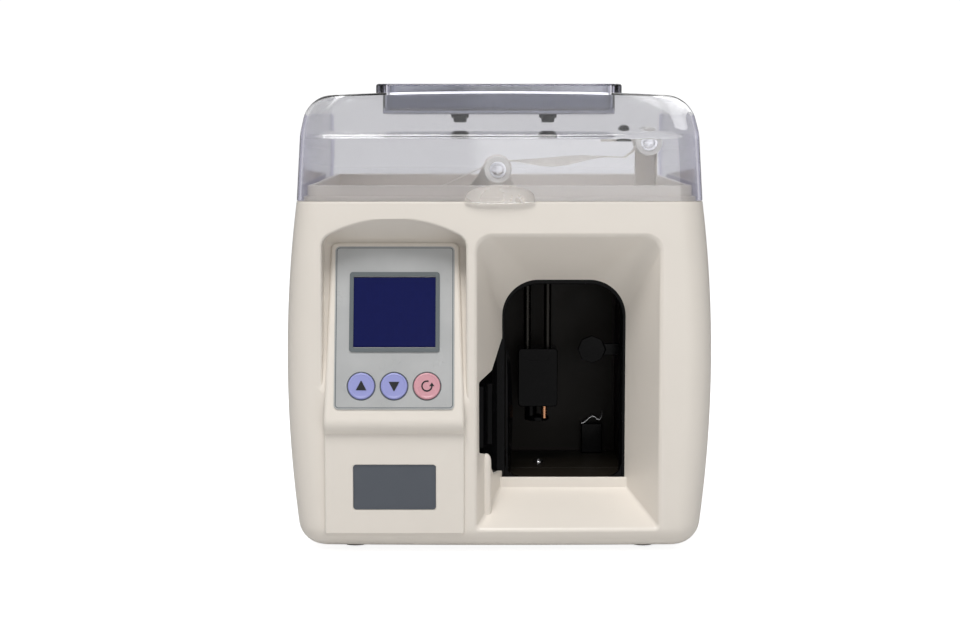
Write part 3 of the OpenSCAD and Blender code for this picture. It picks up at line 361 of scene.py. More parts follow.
SMOKED = clear_plastic("smoked clear acrylic", (0.75, 0.75, 0.77), 0.04)
# painted shade: a darker, more purple copy of the cover acrylic for its side edges and tray rim
SMOKED_PAINTED_EDGE_SHADE = clear_plastic("smoked acrylic darkened as painted edge shade", (0.42, 0.41, 0.50), 0.06)
# painted shade: a darker copy of the cover acrylic for the walls of the tray
SMOKED_PAINTED_TRAY_SHADE = clear_plastic("smoked acrylic darkened as painted tray shade", (0.40, 0.41, 0.475), 0.05)
# painted highlight: a lighter copy of the cover acrylic for the finger lip
ACRYLIC_PAINTED_HIGHLIGHT = clear_plastic("acrylic lip lightened as painted highlight", (0.97, 0.965, 0.96), 0.22)


def display_finish():
    """Dark blue cells with hairlines between them, drawn over X and Z."""
    finish, tree, shader, place = start_material("switched off display")
    apart = add_node(tree, "ShaderNodeSeparateXYZ", {"Vector": place})
    upright = add_node(tree, "ShaderNodeCombineXYZ", {"X": apart.outputs["X"],
                                                      "Y": apart.outputs["Z"]})
    cells = add_node(tree, "ShaderNodeTexBrick", {
        "Vector": upright.outputs["Vector"], "Scale": 1, "Brick Width": 0.0026,
        "Row Height": 0.0046, "Mortar Size": 0.00012, "Color1": (0.0065, 0.0095, 0.074, 1),
        "Color2": (0.0068, 0.0100, 0.078, 1), "Mortar": (0.0078, 0.0105, 0.074, 1)}, offset=0.0)
    set_inputs(tree, shader, {"Base Color": cells.outputs["Color"], "Roughness": 0.16,
                              "Specular IOR Level": 0.15, "Coat Weight": 0.12,
                              "Coat Roughness": 0.05})
    return finish


def film_finish():
    """Satin printed film, creased a little where it was pressed on."""
    finish, tree, shader, place = start_material("grey panel film")
    slow, wrinkles = noise(tree, place, 30, 5), noise(tree, place, 70, 4)
    set_inputs(tree, shader, {
        "Base Color": mixed(tree, ranged(tree, slow, 0, 1), (0.415, 0.425, 0.430),
                            (0.485, 0.495, 0.500)), "Roughness": 0.30})
    bump(tree, shader, ranged(tree, wrinkles, 0, 1, 0.60, 0.72), 0.5, 0.0006)
    return finish


def paper_finish():
    finish, tree, shader, place = start_material("uncoated paper tape")
    tint = (0.80, 0.765, 0.70)
    fibres = noise(tree, place, 1, 6, (300, 300, 300))
    set_inputs(tree, shader, {
        "Base Color": mixed(tree, ranged(tree, fibres, 0, 1), [c * 0.90 for c in tint], tint),
        "Roughness": 0.75})
    bump(tree, shader, fibres, 0.3, 0.0001)
    return finish


DISPLAY, FILM, PAPER = display_finish(), film_finish(), paper_finish()
BOARD = plastic("green board laminate", (0.010, 0.090, 0.030), 0.35, grain=500, drift=0.3)
print("materials:", len(bpy.data.materials))

# %% [markdown]
# ## The housing's curves
# Every wall of the housing follows a few rules: the sides are parts of one great circle, the
# bottom edge turns under, the faces lean in, and the front bows. With the rules as functions,
# an outline exists for every height, and an inset gives the inner skin as well.

# %% Rules of the housing
BODY_W, SEAM_Z, FRONT_D, REAR_D, WALL = 275, 228, 140.5, 142, 3
SIDE_R, WIDE_Z, LEAN, BOW = 820, 122, 1.4, 2
FRONT_R, REAR_R, UNDER_R, FOOT_H, SPLIT_Y = 18, 10, 14, 4, -60


def barrel(z):
    return SIDE_R - math.sqrt(SIDE_R ** 2 - (z - WIDE_Z) ** 2)


def under(z, t):
    r, d = UNDER_R - t, max(0.0, FOOT_H + UNDER_R - z)
    return r - math.sqrt(max(0.0, r * r - d * d))


def leaned(z):
    return LEAN * (z - FOOT_H) / (SEAM_Z - FOOT_H)


def half_w(z, t=0):
    return BODY_W / 2 - barrel(z) - t - under(z, t)


def face_y(z, t=0):
    return -FRONT_D + leaned(z) + t + under(z, t)


def back_y(z, t=0):
    return REAR_D - leaned(z) - t - under(z, t)


def front_chain(hw, y, r, steps=14, across=40):
    bowed = [((hw - r) * s, y + BOW * s * s)
             for s in (2 * i / across - 1 for i in range(1, across))]
    return (arc(-hw + r, y + BOW + r, r, 180, 270, steps) + bowed
            + arc(hw - r, y + BOW + r, r, 270, 360, steps))


def rear_chain(hw, y, r, steps=14, across=40):
    flat = [((hw - r) * (1 - 2 * i / across), y) for i in range(1, across)]
    return arc(hw - r, y - r, r, 0, 90, steps) + flat + arc(-hw + r, y - r, r, 90, 180, steps)


def front_at(z, t=0):
    return front_chain(half_w(z, t), face_y(z, t), max(FRONT_R - t - under(z, t), 1.2))


def rear_at(z, t=0):
    return rear_chain(half_w(z, t), back_y(z, t), max(REAR_R - t - under(z, t), 1.2))


def heights(t, top, steps=34):
    z0, r = FOOT_H + UNDER_R, UNDER_R - t
    return ([z0 - r * cosd(11.25 * i) for i in range(9)]
            + [z0 + (top - z0) * i / steps for i in range(1, steps + 1)])


def front_surface(x, z):
    """Y of the front face at a place on it."""
    flat = half_w(z) - max(FRONT_R - under(z, 0), 1.2)
    return face_y(z) + BOW * min(1.0, abs(x) / flat) ** 2


print("half width at the foot and at the seam:", round(half_w(FOOT_H), 2), round(half_w(SEAM_Z), 2))


# %% [markdown]
# ## The front moulding
# The real part is one injection moulding about 3 mm thick. The shell comes first: an outer
# skin minus an inner skin. The lip at the top gets a small radius by letting the last rings
# step in.

# %% Shell of the front moulding
EDGE_R = 0.9


def shell_rings(chain_at, ends, t, top):
    rings = []
    for z in heights(t, top - (EDGE_R if t == 0 else 0)):
        rings.append([(x, y, z) for x, y in ends(half_w(z, t)) + chain_at(z, t)])
    if t == 0:
        for a in (22.5, 45, 67.5, 90):
            a = math.radians(a)
            z, inset = top - EDGE_R + EDGE_R * math.sin(a), EDGE_R * (1 - math.cos(a))
            rings.append([(x, y, z) for x, y in ends(half_w(z, inset)) + chain_at(z, inset)])
    return rings


def front_shell(name, t, top, past):
    return stacked_rings(name, shell_rings(
        front_at, lambda hw: [(hw, SPLIT_Y + past), (-hw, SPLIT_Y + past)], t, top))


front = front_shell("front_moulding", 0, SEAM_Z, 0)
combine(front, front_shell("inner", WALL, SEAM_Z + 1, 1))
print("front shell:", len(front.data.polygons), "faces")

# %% [markdown]
# The mouth is a funnel. Its outline shrinks from the face to the throat, and each ring is a
# rounded rectangle between the two. At the face the outline flares out over a quarter turn,
# measured from the bowed face itself, so the edge is as soft as a moulded one.

# %% Funnel of the note mouth
MOUTH = (-15.0, 103.0, 17.0, 206.5, 10.0, 2.5)      # left, right, bottom, top, top r, bottom r
THROAT = (2.0, 83.5, 38.0, 175.0, 24.0, 1.5)
THROAT_Y, SOFT_R = -98.0, 2.0


def mouth_ring(share, grow):
    x0, x1, z0, z1, top_r, low_r = (a + (b - a) * share for a, b in zip(MOUTH, THROAT))
    x0, x1, z0, z1 = x0 - grow, x1 + grow, z0 - grow, z1 + grow
    top_r, low_r = top_r + grow, low_r + grow
    corners = [arc(x0 + low_r, z0 + low_r, low_r, 180, 270, 6),
               arc(x1 - low_r, z0 + low_r, low_r, 270, 360, 6),
               arc(x1 - top_r, z1 - top_r, top_r, 0, 90, 18),
               arc(x0 + top_r, z1 - top_r, top_r, 90, 180, 18)]
    outline = []
    for k, corner in enumerate(corners):
        ahead = corners[(k + 1) % 4][0]
        outline += corner + [tuple(a + (b - a) * i / 16 for a, b in zip(corner[-1], ahead))
                             for i in range(1, 16)]
    return outline


def mouth_solid(name, rings):
    """Rings as (share of the way in, growth, how far in front of that)."""
    made = []
    for share, grow, ahead in rings:
        made.append([(x, front_surface(x, z) * (1 - share) + THROAT_Y * share - ahead, z)
                     for x, z in mouth_ring(share, grow)])
    return stacked_rings(name, made)


DEPTH = FRONT_D + THROAT_Y
SOFT_ANGLES = (78, 66, 54, 42, 30, 18, 6)
air = [(0, SOFT_R * 0.88, 2.5)]
air += [(deep / DEPTH, grow, 0) for deep, grow in quarter(SOFT_R, SOFT_ANGLES)]
air += [(0.06 + 0.94 * k / 10, 0, 0) for k in range(11)] + [(1, 0, -3)]
combine(front, mouth_solid("mouth_wall", [(0.036, WALL, 0), (0.3, WALL, 0), (0.6, WALL, 0),
                                          (1, WALL, 0)]), "UNION")

# %% [markdown]
# The arched recess round the panel is cut by two simple solids: an arch that is carried into
# the machine, and a slanted block that follows the tilt of the panel. What both of them hold
# is the air of the recess. The same pair, grown by the wall, makes the wall behind it.

# %% Recess round the control panel
PANEL_X, TILT, NOSE_Y, NOSE_Z = -67.5, 15.0, -147.0, 90.0
RECESS_W, RECESS_RISE, RECESS_TOP, ISLAND_UP, ISLAND_LEN = 92.0, 12.5, 216.5, 4.0, 115.0
COS, SIN, TAN = (f(math.radians(TILT)) for f in (math.cos, math.sin, math.tan))


def panel_y(z):
    return NOSE_Y + (z - NOSE_Z) * TAN


def arch_outline(grow, low=78.0, corner=9.0):
    """Straight sides, two corner arcs and the flat arch between them, as XZ points."""
    w = RECESS_W / 2 + grow
    big = (RECESS_W ** 2 / 4 + RECESS_RISE ** 2) / (2 * RECESS_RISE) + grow
    middle, r = RECESS_TOP + grow - big, corner + grow
    cx = w - r
    cz = middle + math.sqrt((big - r) ** 2 - cx * cx)
    lean = math.degrees(math.atan2(cz - middle, cx))
    sides = [(w, low + (cz - low) * i / 24) for i in range(24)]
    right = sides + arc(cx, cz, r, 0, lean, 10)
    top = arc(0, middle, big, lean, 180 - lean, 36)[1:-1]
    left = [(-x, z) for x, z in reversed(right)]
    return [(PANEL_X + x, z) for x, z in right + top + left]


def recess_solid(name, rings, t, front_y, low):
    made = stacked_rings(name, [[(x, (front_surface(x, z) if near else 0) + y, z)
                                 for x, z in arch_outline(grow)] for near, y, grow in rings])
    z1 = NOSE_Z + ISLAND_LEN * COS
    back = ISLAND_UP / COS + t
    rear = (panel_y(z1) + back, z1 + t / 2)
    brow = (-FRONT_D, RECESS_TOP + 2 + t)
    roof = rear[1] + (brow[1] - rear[1]) * (front_y - rear[0]) / (brow[0] - rear[0])
    side = [(front_y, low), (panel_y(low) + back, low), rear, (front_y, roof)]
    w = RECESS_W / 2 + t + 6
    wedge = bar("wedge", side, PANEL_X - w, PANEL_X + w, "x")
    soften(wedge, 3.5, 6)
    return combine(made, wedge, "INTERSECT")


combine(front, recess_solid("recess_wall", [(True, 1.6, WALL), (False, -60, WALL)],
                            WALL, -FRONT_D + 1.6, NOSE_Z + 16), "UNION")
recess_flare = [(True, deep, grow) for deep, grow in quarter(SOFT_R, SOFT_ANGLES)]
combine(front, recess_solid("recess_air", [(True, -12, SOFT_R * 0.88)] + recess_flare
                            + [(False, -60, 0)], 0, NOSE_Y - 8, NOSE_Z - 6))
combine(front, mouth_solid("mouth_air", air))
print("recess and mouth cut:", len(front.data.polygons), "faces")

# %% [markdown]
# The console is one swept skin. Its side profile comes down the tilted panel, rolls under at the
# nose and ends on the lower plate. Every point of that profile knows its outward direction,
# its half width and the radius of its side edges, so a grid of points gives a form that is
# soft on every edge, as it comes out of a mould.

# %% Console with its rolled nose
def console_profile():
    """Rows of (y, z, outward y, outward z, half width, edge radius)."""
    rows = []
    top_r, nose_r, low_y, low_z, low_r = 3.0, 9.0, -142.5, 14.0, 1.5
    up, out = (SIN, COS), (-COS, SIN)
    end = ISLAND_LEN - top_r

    def on_panel(v, w):
        return NOSE_Y + v * up[0] + w * out[0], NOSE_Z + v * up[1] + w * out[1]

    for k in range(8):
        a = math.radians(90 - 90 * k / 7)
        y, z = on_panel(end + top_r * math.sin(a), -top_r + top_r * math.cos(a))
        shrink = 3.5 * (1 - math.sqrt(max(0, 1 - math.sin(a) ** 2)))
        n = [u * math.sin(a) + o * math.cos(a) for u, o in zip(up, out)]
        rows.append((y, z, *n, 41.5 - shrink, 2.4))
    for k in range(1, 25):
        v = end * (1 - k / 24)
        y, z = on_panel(v, 0)
        rows.append((y, z, *out, 45 - 3.5 * v / end, 2.4))
    centre = (NOSE_Y + nose_r * COS, NOSE_Z - nose_r * SIN)
    last = 180 + math.degrees(math.acos((centre[0] - low_y) / nose_r))
    for k in range(1, 19):
        a = math.radians(180 - TILT + (last - 180 + TILT) * k / 18)
        n = (math.cos(a), math.sin(a))
        rows.append((centre[0] + nose_r * n[0], centre[1] + nose_r * n[1], *n, 45,
                     2.4 - 0.9 * k / 18))
    foot = low_z + low_r
    start = rows[-1][1] - 1.2
    for k in range(13):
        rows.append((low_y, start + (foot - start) * k / 12, -1, 0, 45, 1.5))
    for k in range(1, 6):
        a = math.radians(18 * k)
        rows.append((low_y + low_r - low_r * math.cos(a), foot - low_r * math.sin(a),
                     -math.cos(a), -math.sin(a), 45 - 1.2 * (1 - math.cos(a)), 1.5))
    return rows


def console():
    rows, depth = console_profile(), 2.6
    columns = [(-1, a) for a in (90, 72, 54, 36, 18, 0)]
    columns += [(s / 12, None) for s in range(-11, 12)] + [(1, a) for a in (0, 18, 36, 54, 72, 90)]
    grid = []
    for y, z, ny, nz, w, r in rows:
        line = []
        for side, a in columns:
            if a is None:
                line.append((PANEL_X + (w - r) * side, y, z))
                continue
            a = math.radians(a)
            drop = r * (1 - math.cos(a))
            line.append((PANEL_X + side * (w - r + r * math.sin(a)), y - ny * drop, z - nz * drop))
        first, final = line[0], line[-1]
        deep = [(p[0], p[1] - ny * depth, p[2] - nz * depth) for p in (first, final)]
        line = [deep[0]] + line + [deep[1]]
        # the back of the console is a second sheet, parallel to the first
        back = [(p[0] + (q[0] - p[0]) * k / 8, p[1], p[2])
                for p, q in [(deep[1], deep[0])] for k in range(1, 8)]
        grid.append(line + back)
    return stacked_rings("console", grid)


combine(front, console(), "UNION")
sill = bar("sill", rectangle(0, 36, 85.5, 43.5), -100.5, -97.9)
combine(front, soften(sill, 0.8, 3), "UNION")
print("console joined:", len(front.data.polygons), "faces")

# %% [markdown]
# Last come the openings: the display, three buttons, the sunk name plate and the side of the
# mouth. The opening in the mouth's left wall has round corners, and the wall's lower end
# stays as a small rounded post.

# %% Openings in the front moulding
OUT = Matrix.Translation(Vector((PANEL_X, NOSE_Y, NOSE_Z))) @ Matrix.Rotation(
    math.radians(90 - TILT), 4, "X")
BUTTON_D, BUTTON_PITCH, BUTTON_V = 17.2, 21.0, 21.0
BEZEL_V, WINDOW_W, WINDOW_H = 69.0, 54.0, 46.0


def on_panel(outline, low, high, name="cut"):
    """An outline on the panel, X across and Y up its slope, made into a bar out of it."""
    return stacked_rings(name, [[tuple(OUT @ Vector((a, b, w))) for a, b in outline]
                                for w in (low, high)])


def cut_button_holes(made, low, high):
    for k in (-1, 0, 1):
        hole = arc(k * BUTTON_PITCH, BUTTON_V, BUTTON_D / 2 + 0.3, 0, 354, 59)
        combine(made, on_panel(hole, low, high))


def cut_window(made, low, high):
    combine(made, on_panel(rounded_rectangle(0, BEZEL_V, WINDOW_W, WINDOW_H, 1.0), low, high))


cut_button_holes(front, -20, 9)
cut_window(front, -20, 9)
PLATE_Z, FOOT_X, FOOT_Y, FOOT_BORE = 45.0, 95, 104, 2.05
well = rounded_rectangle(PANEL_X, PLATE_Z, 53.6, 29.6, 2.2)
combine(front, bar("plate_well", well, -160, -141.5))
side_cut = [(-96, 136), (-98.5, 136), (-115, 117), (-135.5, 112), (-135.5, 66), (-123, 63),
            (-112, 47.5), (-96, 47.5)]
combine(front, soften(bar("side_cut", side_cut, -23, 6, "x"), 4.0, 5))
post = [(3.4, 21), (3.4, 57), (3.25, 59.5), (2.7, 61.6), (1.7, 63.1), (0.5, 63.7)]
combine(front, turned("post", post, (-8.6, -124), axis="z", steps=40), "UNION")
for x in (-FOOT_X, FOOT_X):
    combine(front, turned("foot_hole", [(FOOT_BORE, 0), (FOOT_BORE, 8)], (x, -FOOT_Y), axis="z",
                          steps=60))
dress(smooth(front, 34), "machine", "ivory_plastic", IVORY, "front_housing")
print("front moulding:", len(front.data.polygons), "faces")

# %% [markdown]
# ## The rear moulding and the deck
# The rear moulding uses the same rules. It carries the hinge ears, the mains inlet, the switch
# and the vents, and its screws are copies of one screw, placed by a small node tree.

# %% A node tree that repeats a part
def repeat_tree():
    tree = bpy.data.node_groups.new("repeat a part", "GeometryNodeTree")
    kinds = {"Geometry": "Geometry", "Count": "Int", "Start": "Vector", "Step": "Vector",
             "Turn": "Vector", "Jitter": "Vector", "Seed": "Int", "Finish": "Material"}
    for name, kind in kinds.items():
        tree.interface.new_socket(name, in_out="INPUT", socket_type="NodeSocket" + kind)
    tree.interface.new_socket("Geometry", in_out="OUTPUT", socket_type="NodeSocketGeometry")
    given, result = tree.nodes.new("NodeGroupInput"), tree.nodes.new("NodeGroupOutput")
    ask = given.outputs
    line = add_node(tree, "GeometryNodeMeshLine", {
        "Count": ask["Count"], "Start Location": ask["Start"], "Offset": ask["Step"]},
        mode="OFFSET")
    index = tree.nodes.new("GeometryNodeInputIndex")
    steady = add_node(tree, "ShaderNodeVectorMath",
                      {0: ask["Turn"], "Scale": index.outputs[0]}, operation="SCALE")
    chance = add_node(tree, "FunctionNodeRandomValue", {
        "Min": (0, 0, 0), "Max": ask["Jitter"], "Seed": ask["Seed"]}, data_type="FLOAT_VECTOR")
    both = add_node(tree, "ShaderNodeVectorMath", {0: steady.outputs[0], 1: chance.outputs[0]})
    turn = add_node(tree, "FunctionNodeEulerToRotation", {0: both.outputs[0]})
    place = add_node(tree, "GeometryNodeInstanceOnPoints", {
        "Points": line.outputs["Mesh"], "Instance": ask["Geometry"], "Rotation": turn.outputs[0]})
    real = add_node(tree, "GeometryNodeRealizeInstances", {0: place.outputs[0]})
    dye = add_node(tree, "GeometryNodeSetMaterial", {"Geometry": real.outputs[0],
                                                     "Material": ask["Finish"]})
    tree.links.new(dye.outputs[0], result.inputs[0])
    return tree


REPEAT = repeat_tree()


def repeat(made, finish, count, start, step=(0, 0, 0), turn=(0, 0, 0), jitter=(0, 0, 0), seed=4):
    """Copies an object's mesh along a line or round a centre, and keeps the plain result."""
    change = made.modifiers.new("repeat", "NODES")
    change.node_group = REPEAT
    values = {"Count": count, "Start": [c * MM for c in start], "Step": [c * MM for c in step],
              "Turn": [math.radians(a) for a in turn], "Jitter": [math.radians(a) for a in jitter],
              "Seed": seed, "Finish": finish}
    for item in REPEAT.interface.items_tree:
        if item.in_out == "INPUT" and item.name in values:
            change[item.identifier] = values[item.name]
    return apply_modifiers(made)


# %% [markdown]
# Cross-recess screws hold the housing and the rollers. One function turns a head of any size
# and cuts the cross with two bars, so all screws look related.

# %% Cross-recess screw heads
def cut_cross(head, centre, long, thin, start, end):
    for a, b in ((long, thin), (thin, long)):
        outline = rectangle(centre[0] - a, centre[1] - b, centre[0] + a, centre[1] + b)
        combine(head, bar("slot", outline, start, end))


def cross_screw(name, r, depth=0.9):
    """Head of a cross-recess screw that looks along -Y, with its seat at the origin."""
    head = turned(name, [(r, 0), (r, -0.25 * r), (0.86 * r, -0.38 * r), (0.55 * r, -0.47 * r),
                         (0.2 * r, -0.5 * r)], steps=40)
    cut_cross(head, (0, 0), 0.62 * r, 0.13 * r, -r, -0.5 * r + depth)
    return head


# %% [markdown]
# The rear moulding is a shell by the same rules, with its open side to the front. The ears of
# the hinge are joined while the mesh is plain, and the openings are cut last, with crisp edges
# as a mould leaves them.

# %% Rear moulding
HINGE_Y, HINGE_Z, KNUCKLE_R, PIN_R = 143.807, 231.5, 3.5, 1.5
HINGE_X, KNUCKLE_W, EAR_W = (-92, 92), 16, 6
INLET_X, SWITCH_X, SOCKET_Z = -88, -52, 52
VENTS, VENT_X, VENT_PITCH, VENT_Z = 9, 32, 9, 77
SCREW_X, SCREW_Y, SCREW_ROWS = 110, 139.9, {"lower": 26, "upper": 200}


def rear_shell(name, t, past):
    return stacked_rings(name, shell_rings(
        rear_at, lambda hw: [(-hw, SPLIT_Y + 0.3 - past), (hw, SPLIT_Y + 0.3 - past)],
        t, SEAM_Z + (1 if t else 0)))


def pin_bore(x):
    return turned("bore", [(PIN_R + 0.05, x - 16), (PIN_R + 0.05, x + 16)],
                  (HINGE_Y, HINGE_Z), axis="x", steps=32)


rear = rear_shell("rear_moulding", 0, 0)
combine(rear, rear_shell("inner", WALL, 1))
ear = ([(138.6, 208), (140.6, 208), (147.307, 220)] + arc(HINGE_Y, HINGE_Z, KNUCKLE_R, 0, 180, 18)
       + [(140.307, 226.5), (138.6, 226.5)])
for x in HINGE_X:
    for side in (-1, 1):
        middle = x + side * (KNUCKLE_W / 2 + 0.3 + EAR_W / 2)
        made = soften(bar("ear", ear, middle - EAR_W / 2, middle + EAR_W / 2, "x"), 0.5, 3, 40)
        combine(rear, made, "UNION")
    combine(rear, pin_bore(x))
for cx, w in ((INLET_X, 28.6), (SWITCH_X, 14.6)):
    combine(rear, bar("opening", rounded_rectangle(cx, SOCKET_Z, w, 21.6, 0.8, 4), 122, 145))
for k in range(VENTS):
    vent = rounded_rectangle(VENT_X + VENT_PITCH * k, VENT_Z, 4, 34, 1.95, 8)
    combine(rear, bar("vent", vent, 130, 145))
for x in (-SCREW_X, SCREW_X):
    for z in SCREW_ROWS.values():
        combine(rear, turned("well", [(4.4, SCREW_Y), (4.4, 145)], (x, z), steps=40))
for x in (-FOOT_X, FOOT_X):
    combine(rear, turned("foot_hole", [(FOOT_BORE, 0), (FOOT_BORE, 8)], (x, FOOT_Y), axis="z"))
dress(smooth(rear, 34), "machine", "ivory_plastic", IVORY, "rear_housing")
print("rear moulding:", len(rear.data.polygons), "faces")

# %% [markdown]
# A slanted slat stands behind each vent slot, so air passes and the eye does not. Slats and
# screws are copies by the node tree. The screws get a random turn, as no two real ones stop at
# the same angle.

# %% Louvres and screws of the rear
slat = bar("vent_slats", [(-2.6, 0), (-2.0, -0.5), (2.6, -4.2), (2.0, -3.7)], -18, 18, "z")
repeat(slat, IVORY, VENTS, (VENT_X, 139.05, VENT_Z), (VENT_PITCH, 0, 0))
dress(smooth(slat), "machine", "ivory_plastic", IVORY)
for row, z in SCREW_ROWS.items():
    screw = cross_screw("rear_screws_" + row, 3.3)
    for point in screw.data.vertices:
        point.co.x, point.co.y = -point.co.x, -point.co.y
    outward(screw)
    repeat(screw, STEEL, 2, (-SCREW_X, SCREW_Y, z), (2 * SCREW_X, 0, 0), jitter=(0, 90, 0),
           seed=7)
    dress(smooth(screw), "machine", "steel", STEEL)

print("slats:", VENTS, "screws:", 2 * len(SCREW_ROWS))

# %% [markdown]
# The deck under the cover has two raised rims. A rim is one closed loop: a small rounded
# profile that is carried along the outline of the housing.

# %% Deck with its rims
def outline_at(inset, z):
    return [(x, y, z) for x, y in rear_at(SEAM_Z, inset) + front_at(SEAM_Z, inset)]


def rim(name, inset, width, low, high, r=0.8):
    outer = [(inset + a, high - b) for a, b in quarter(r, (90, 60, 30, 0))]
    inner = [(inset + width - a, high - b) for a, b in quarter(r, (0, 30, 60, 90))]
    return looped_rings(name, [outline_at(i, z) for i, z in
                               [(inset, low)] + outer + inner + [(inset + width, low)]])


deck = stacked_rings("deck", [outline_at(inset, z) for inset, z in (
    (3.3, 225), (3.3, 227.4), (3.5, 227.86), (4.0, 228))])
combine(deck, rim("rim", 4.5, 2.8, 227, 231), "UNION")
combine(deck, rim("rim", 7.0, 2.8, 227, 238), "UNION")
for x0, x1, y0, y1 in ((-122, -8, -96, -70), (100, 108, -95, -71)):
    well = rounded_rectangle((x0 + x1) / 2, (y0 + y1) / 2, x1 - x0, y1 - y0, 2)
    combine(deck, bar("slot", well, 220, 228.6, "z"))
dress(smooth(deck, 34), "machine", "ivory_plastic", IVORY, "top_deck")
print("deck:", len(deck.data.polygons), "faces")

# %% [markdown]
# ## The clear cover
# The cover is a skin of two surfaces like the housing, but its top is arched. Its rings rise
# along the walls, follow the brow where the front slopes back, and turn over the long edges on
# a radius. The last ring is bridged with rows from front to rear.

# %% Rules of the cover
COVER_T, COVER_Z0, BROW_Z, TOP_Z, CROWN, ROUND_R = 2.5, 228.3, 271.0, 298.5, 4.0, 14.0
SIDE_TOP, COVER_BACK, DRAFT = TOP_Z - CROWN, HINGE_Y - KNUCKLE_R - 0.5, 0.055


def eased(d, w=2.5):
    """A ramp that starts softly."""
    return 0.0 if d < -w else d if d > w else (d + w) ** 2 / (4 * w)


def slope_at(z, t, z0, run_in):
    return run_in * eased(z + 0.6 * t - z0) / (SIDE_TOP - z0)


def cover_ring(z, t):
    r = ROUND_R - t
    d = max(0.0, z - (SIDE_TOP - ROUND_R))
    draft = DRAFT * (z - SEAM_Z)
    w = half_w(SEAM_Z) - draft - t - (r - math.sqrt(max(0.0, r * r - d * d)))
    front_y = face_y(SEAM_Z) + draft + t + slope_at(z, t, BROW_Z, 45)
    rear_y = COVER_BACK - draft - t - slope_at(z, t, BROW_Z - 20, 26)
    s = max(0.0, min(1.0, (z - BROW_Z) / (SIDE_TOP - BROW_Z)))
    chain = rear_chain(w, rear_y, max(REAR_R - t, 2)) + front_chain(w, front_y, FRONT_R - t)
    return [(x, y, z + CROWN * s * (1 - (x / (BODY_W / 2)) ** 2)) for x, y in chain]


def cover_skin(name, t, z0):
    z1, r = SIDE_TOP - ROUND_R, ROUND_R - t
    levels = [z0 + (BROW_Z - 4 - z0) * i / 8 for i in range(9)]
    levels += [BROW_Z - 4 + i for i in range(1, 9)]
    levels += [BROW_Z + 4 + (z1 - BROW_Z - 4) * i / 4 for i in range(1, 5)]
    levels += [z1 + r * sind(7.5 * i) for i in range(1, 13)]
    rings = [cover_ring(z, t) for z in levels]
    around, count = len(rings[0]), len(rings)
    half = around // 2
    points = sum(rings, [])
    faces = ring_faces(count, around) + [tuple(range(around))]
    last = (count - 1) * around
    rows = [[last + half + j for j in range(half)]]
    for k in range(1, 12):
        row = []
        for j in range(half):
            a, b = points[last + half + j], points[last + half - 1 - j]
            row.append(len(points))
            points.append(tuple(p + (q - p) * k / 12 for p, q in zip(a, b)))
        rows.append(row)
    rows.append([last + half - 1 - j for j in range(half)])
    faces += [(rows[k][j], rows[k][j + 1], rows[k + 1][j + 1], rows[k + 1][j])
              for k in range(12) for j in range(half - 1)]
    ends = [[row[0] for row in rows], [row[-1] for row in rows]]
    faces += [tuple(ends[0]), tuple(ends[1])]
    return outward(new_object(name, points, faces))


cover = cover_skin("clear_cover", 0, COVER_Z0)
combine(cover, cover_skin("inner", COVER_T, COVER_Z0 - 1))
print("cover skin:", len(cover.data.polygons), "faces")

# %% [markdown]
# The tray in the top is a pocket: a tub is joined to the skin, and a hollow is cut out of it
# when all else is in place. Steep and thick walls of the real cover look darker. Here that is
# painted shade, a darker copy of the acrylic chosen face by face, and the finger lip gets a
# lighter copy as a painted highlight.

# %% Grip tray, finger lip and hinge knuckles
TRAY_Y, TRAY_W, TRAY_D, TRAY_RIM, TRAY_BORDER, RIM_R = -42.0, 150.0, 54.0, 5.0, 7.0, 1.6
RIM_Z = TOP_Z + TRAY_RIM


def tray_solid(name, levels):
    """Rounded rectangles as (growth, corner radius, height)."""
    return stacked_rings(name, [
        [(x, y, z) for x, y in rounded_rectangle(0, TRAY_Y, TRAY_W + 2 * grow,
                                                 TRAY_D + 2 * grow, r, 8)]
        for grow, r, z in levels])


tub = tray_solid("tub", [(COVER_T - 1.2, 5, 282), (COVER_T - 0.4, 5.6, 282.4),
                         (COVER_T, 6, 283.4), (COVER_T, 6, RIM_Z - 1)])
turns = [polar((0, 0), RIM_R, a) for a in (22, 45, 67, 90)]
ledge = tray_solid("ledge", [(TRAY_BORDER - 0.8, 8.4, 295.9), (TRAY_BORDER, 9, 296.7),
                             (TRAY_BORDER, 9, RIM_Z - RIM_R)]
                   + [(TRAY_BORDER - RIM_R + a, 9 - RIM_R + a, RIM_Z - RIM_R + b)
                      for a, b in turns])
hollow = tray_solid("hollow", [(-2, 2.5, 284.5), (-1, 3.4, 284.8), (-0.25, 3.9, 285.6),
                               (0, 4, 287), (0, 4, RIM_Z - 1.4), (0.3, 4.2, RIM_Z - 0.6),
                               (1.2, 5, RIM_Z + 0.05), (1.2, 5, RIM_Z + 3)])
combine(cover, tub, "UNION")
combine(cover, ledge, "UNION")
FACE = face_y(SEAM_Z)
lens = []
for share, out in ((1.0, 1.25), (1.0, -0.9), (0.97, -1.7), (0.88, -2.5), (0.7, -3.0), (0.4, -3.35)):
    up = 10.5 * (0.35 + 0.65 * share)
    top = [(22.5 * share * cosd(a), up * sind(a) ** 0.8)
           for a in range(2, 179, 4)]
    low = [(22.5 * share * cosd(a),
            1.5 * share * sind(a)) for a in range(182, 359, 4)]
    lens.append([(x, FACE + out, SEAM_Z + 0.4 + z) for x, z in top + low])
combine(cover, stacked_rings("finger_lip", lens), "UNION")
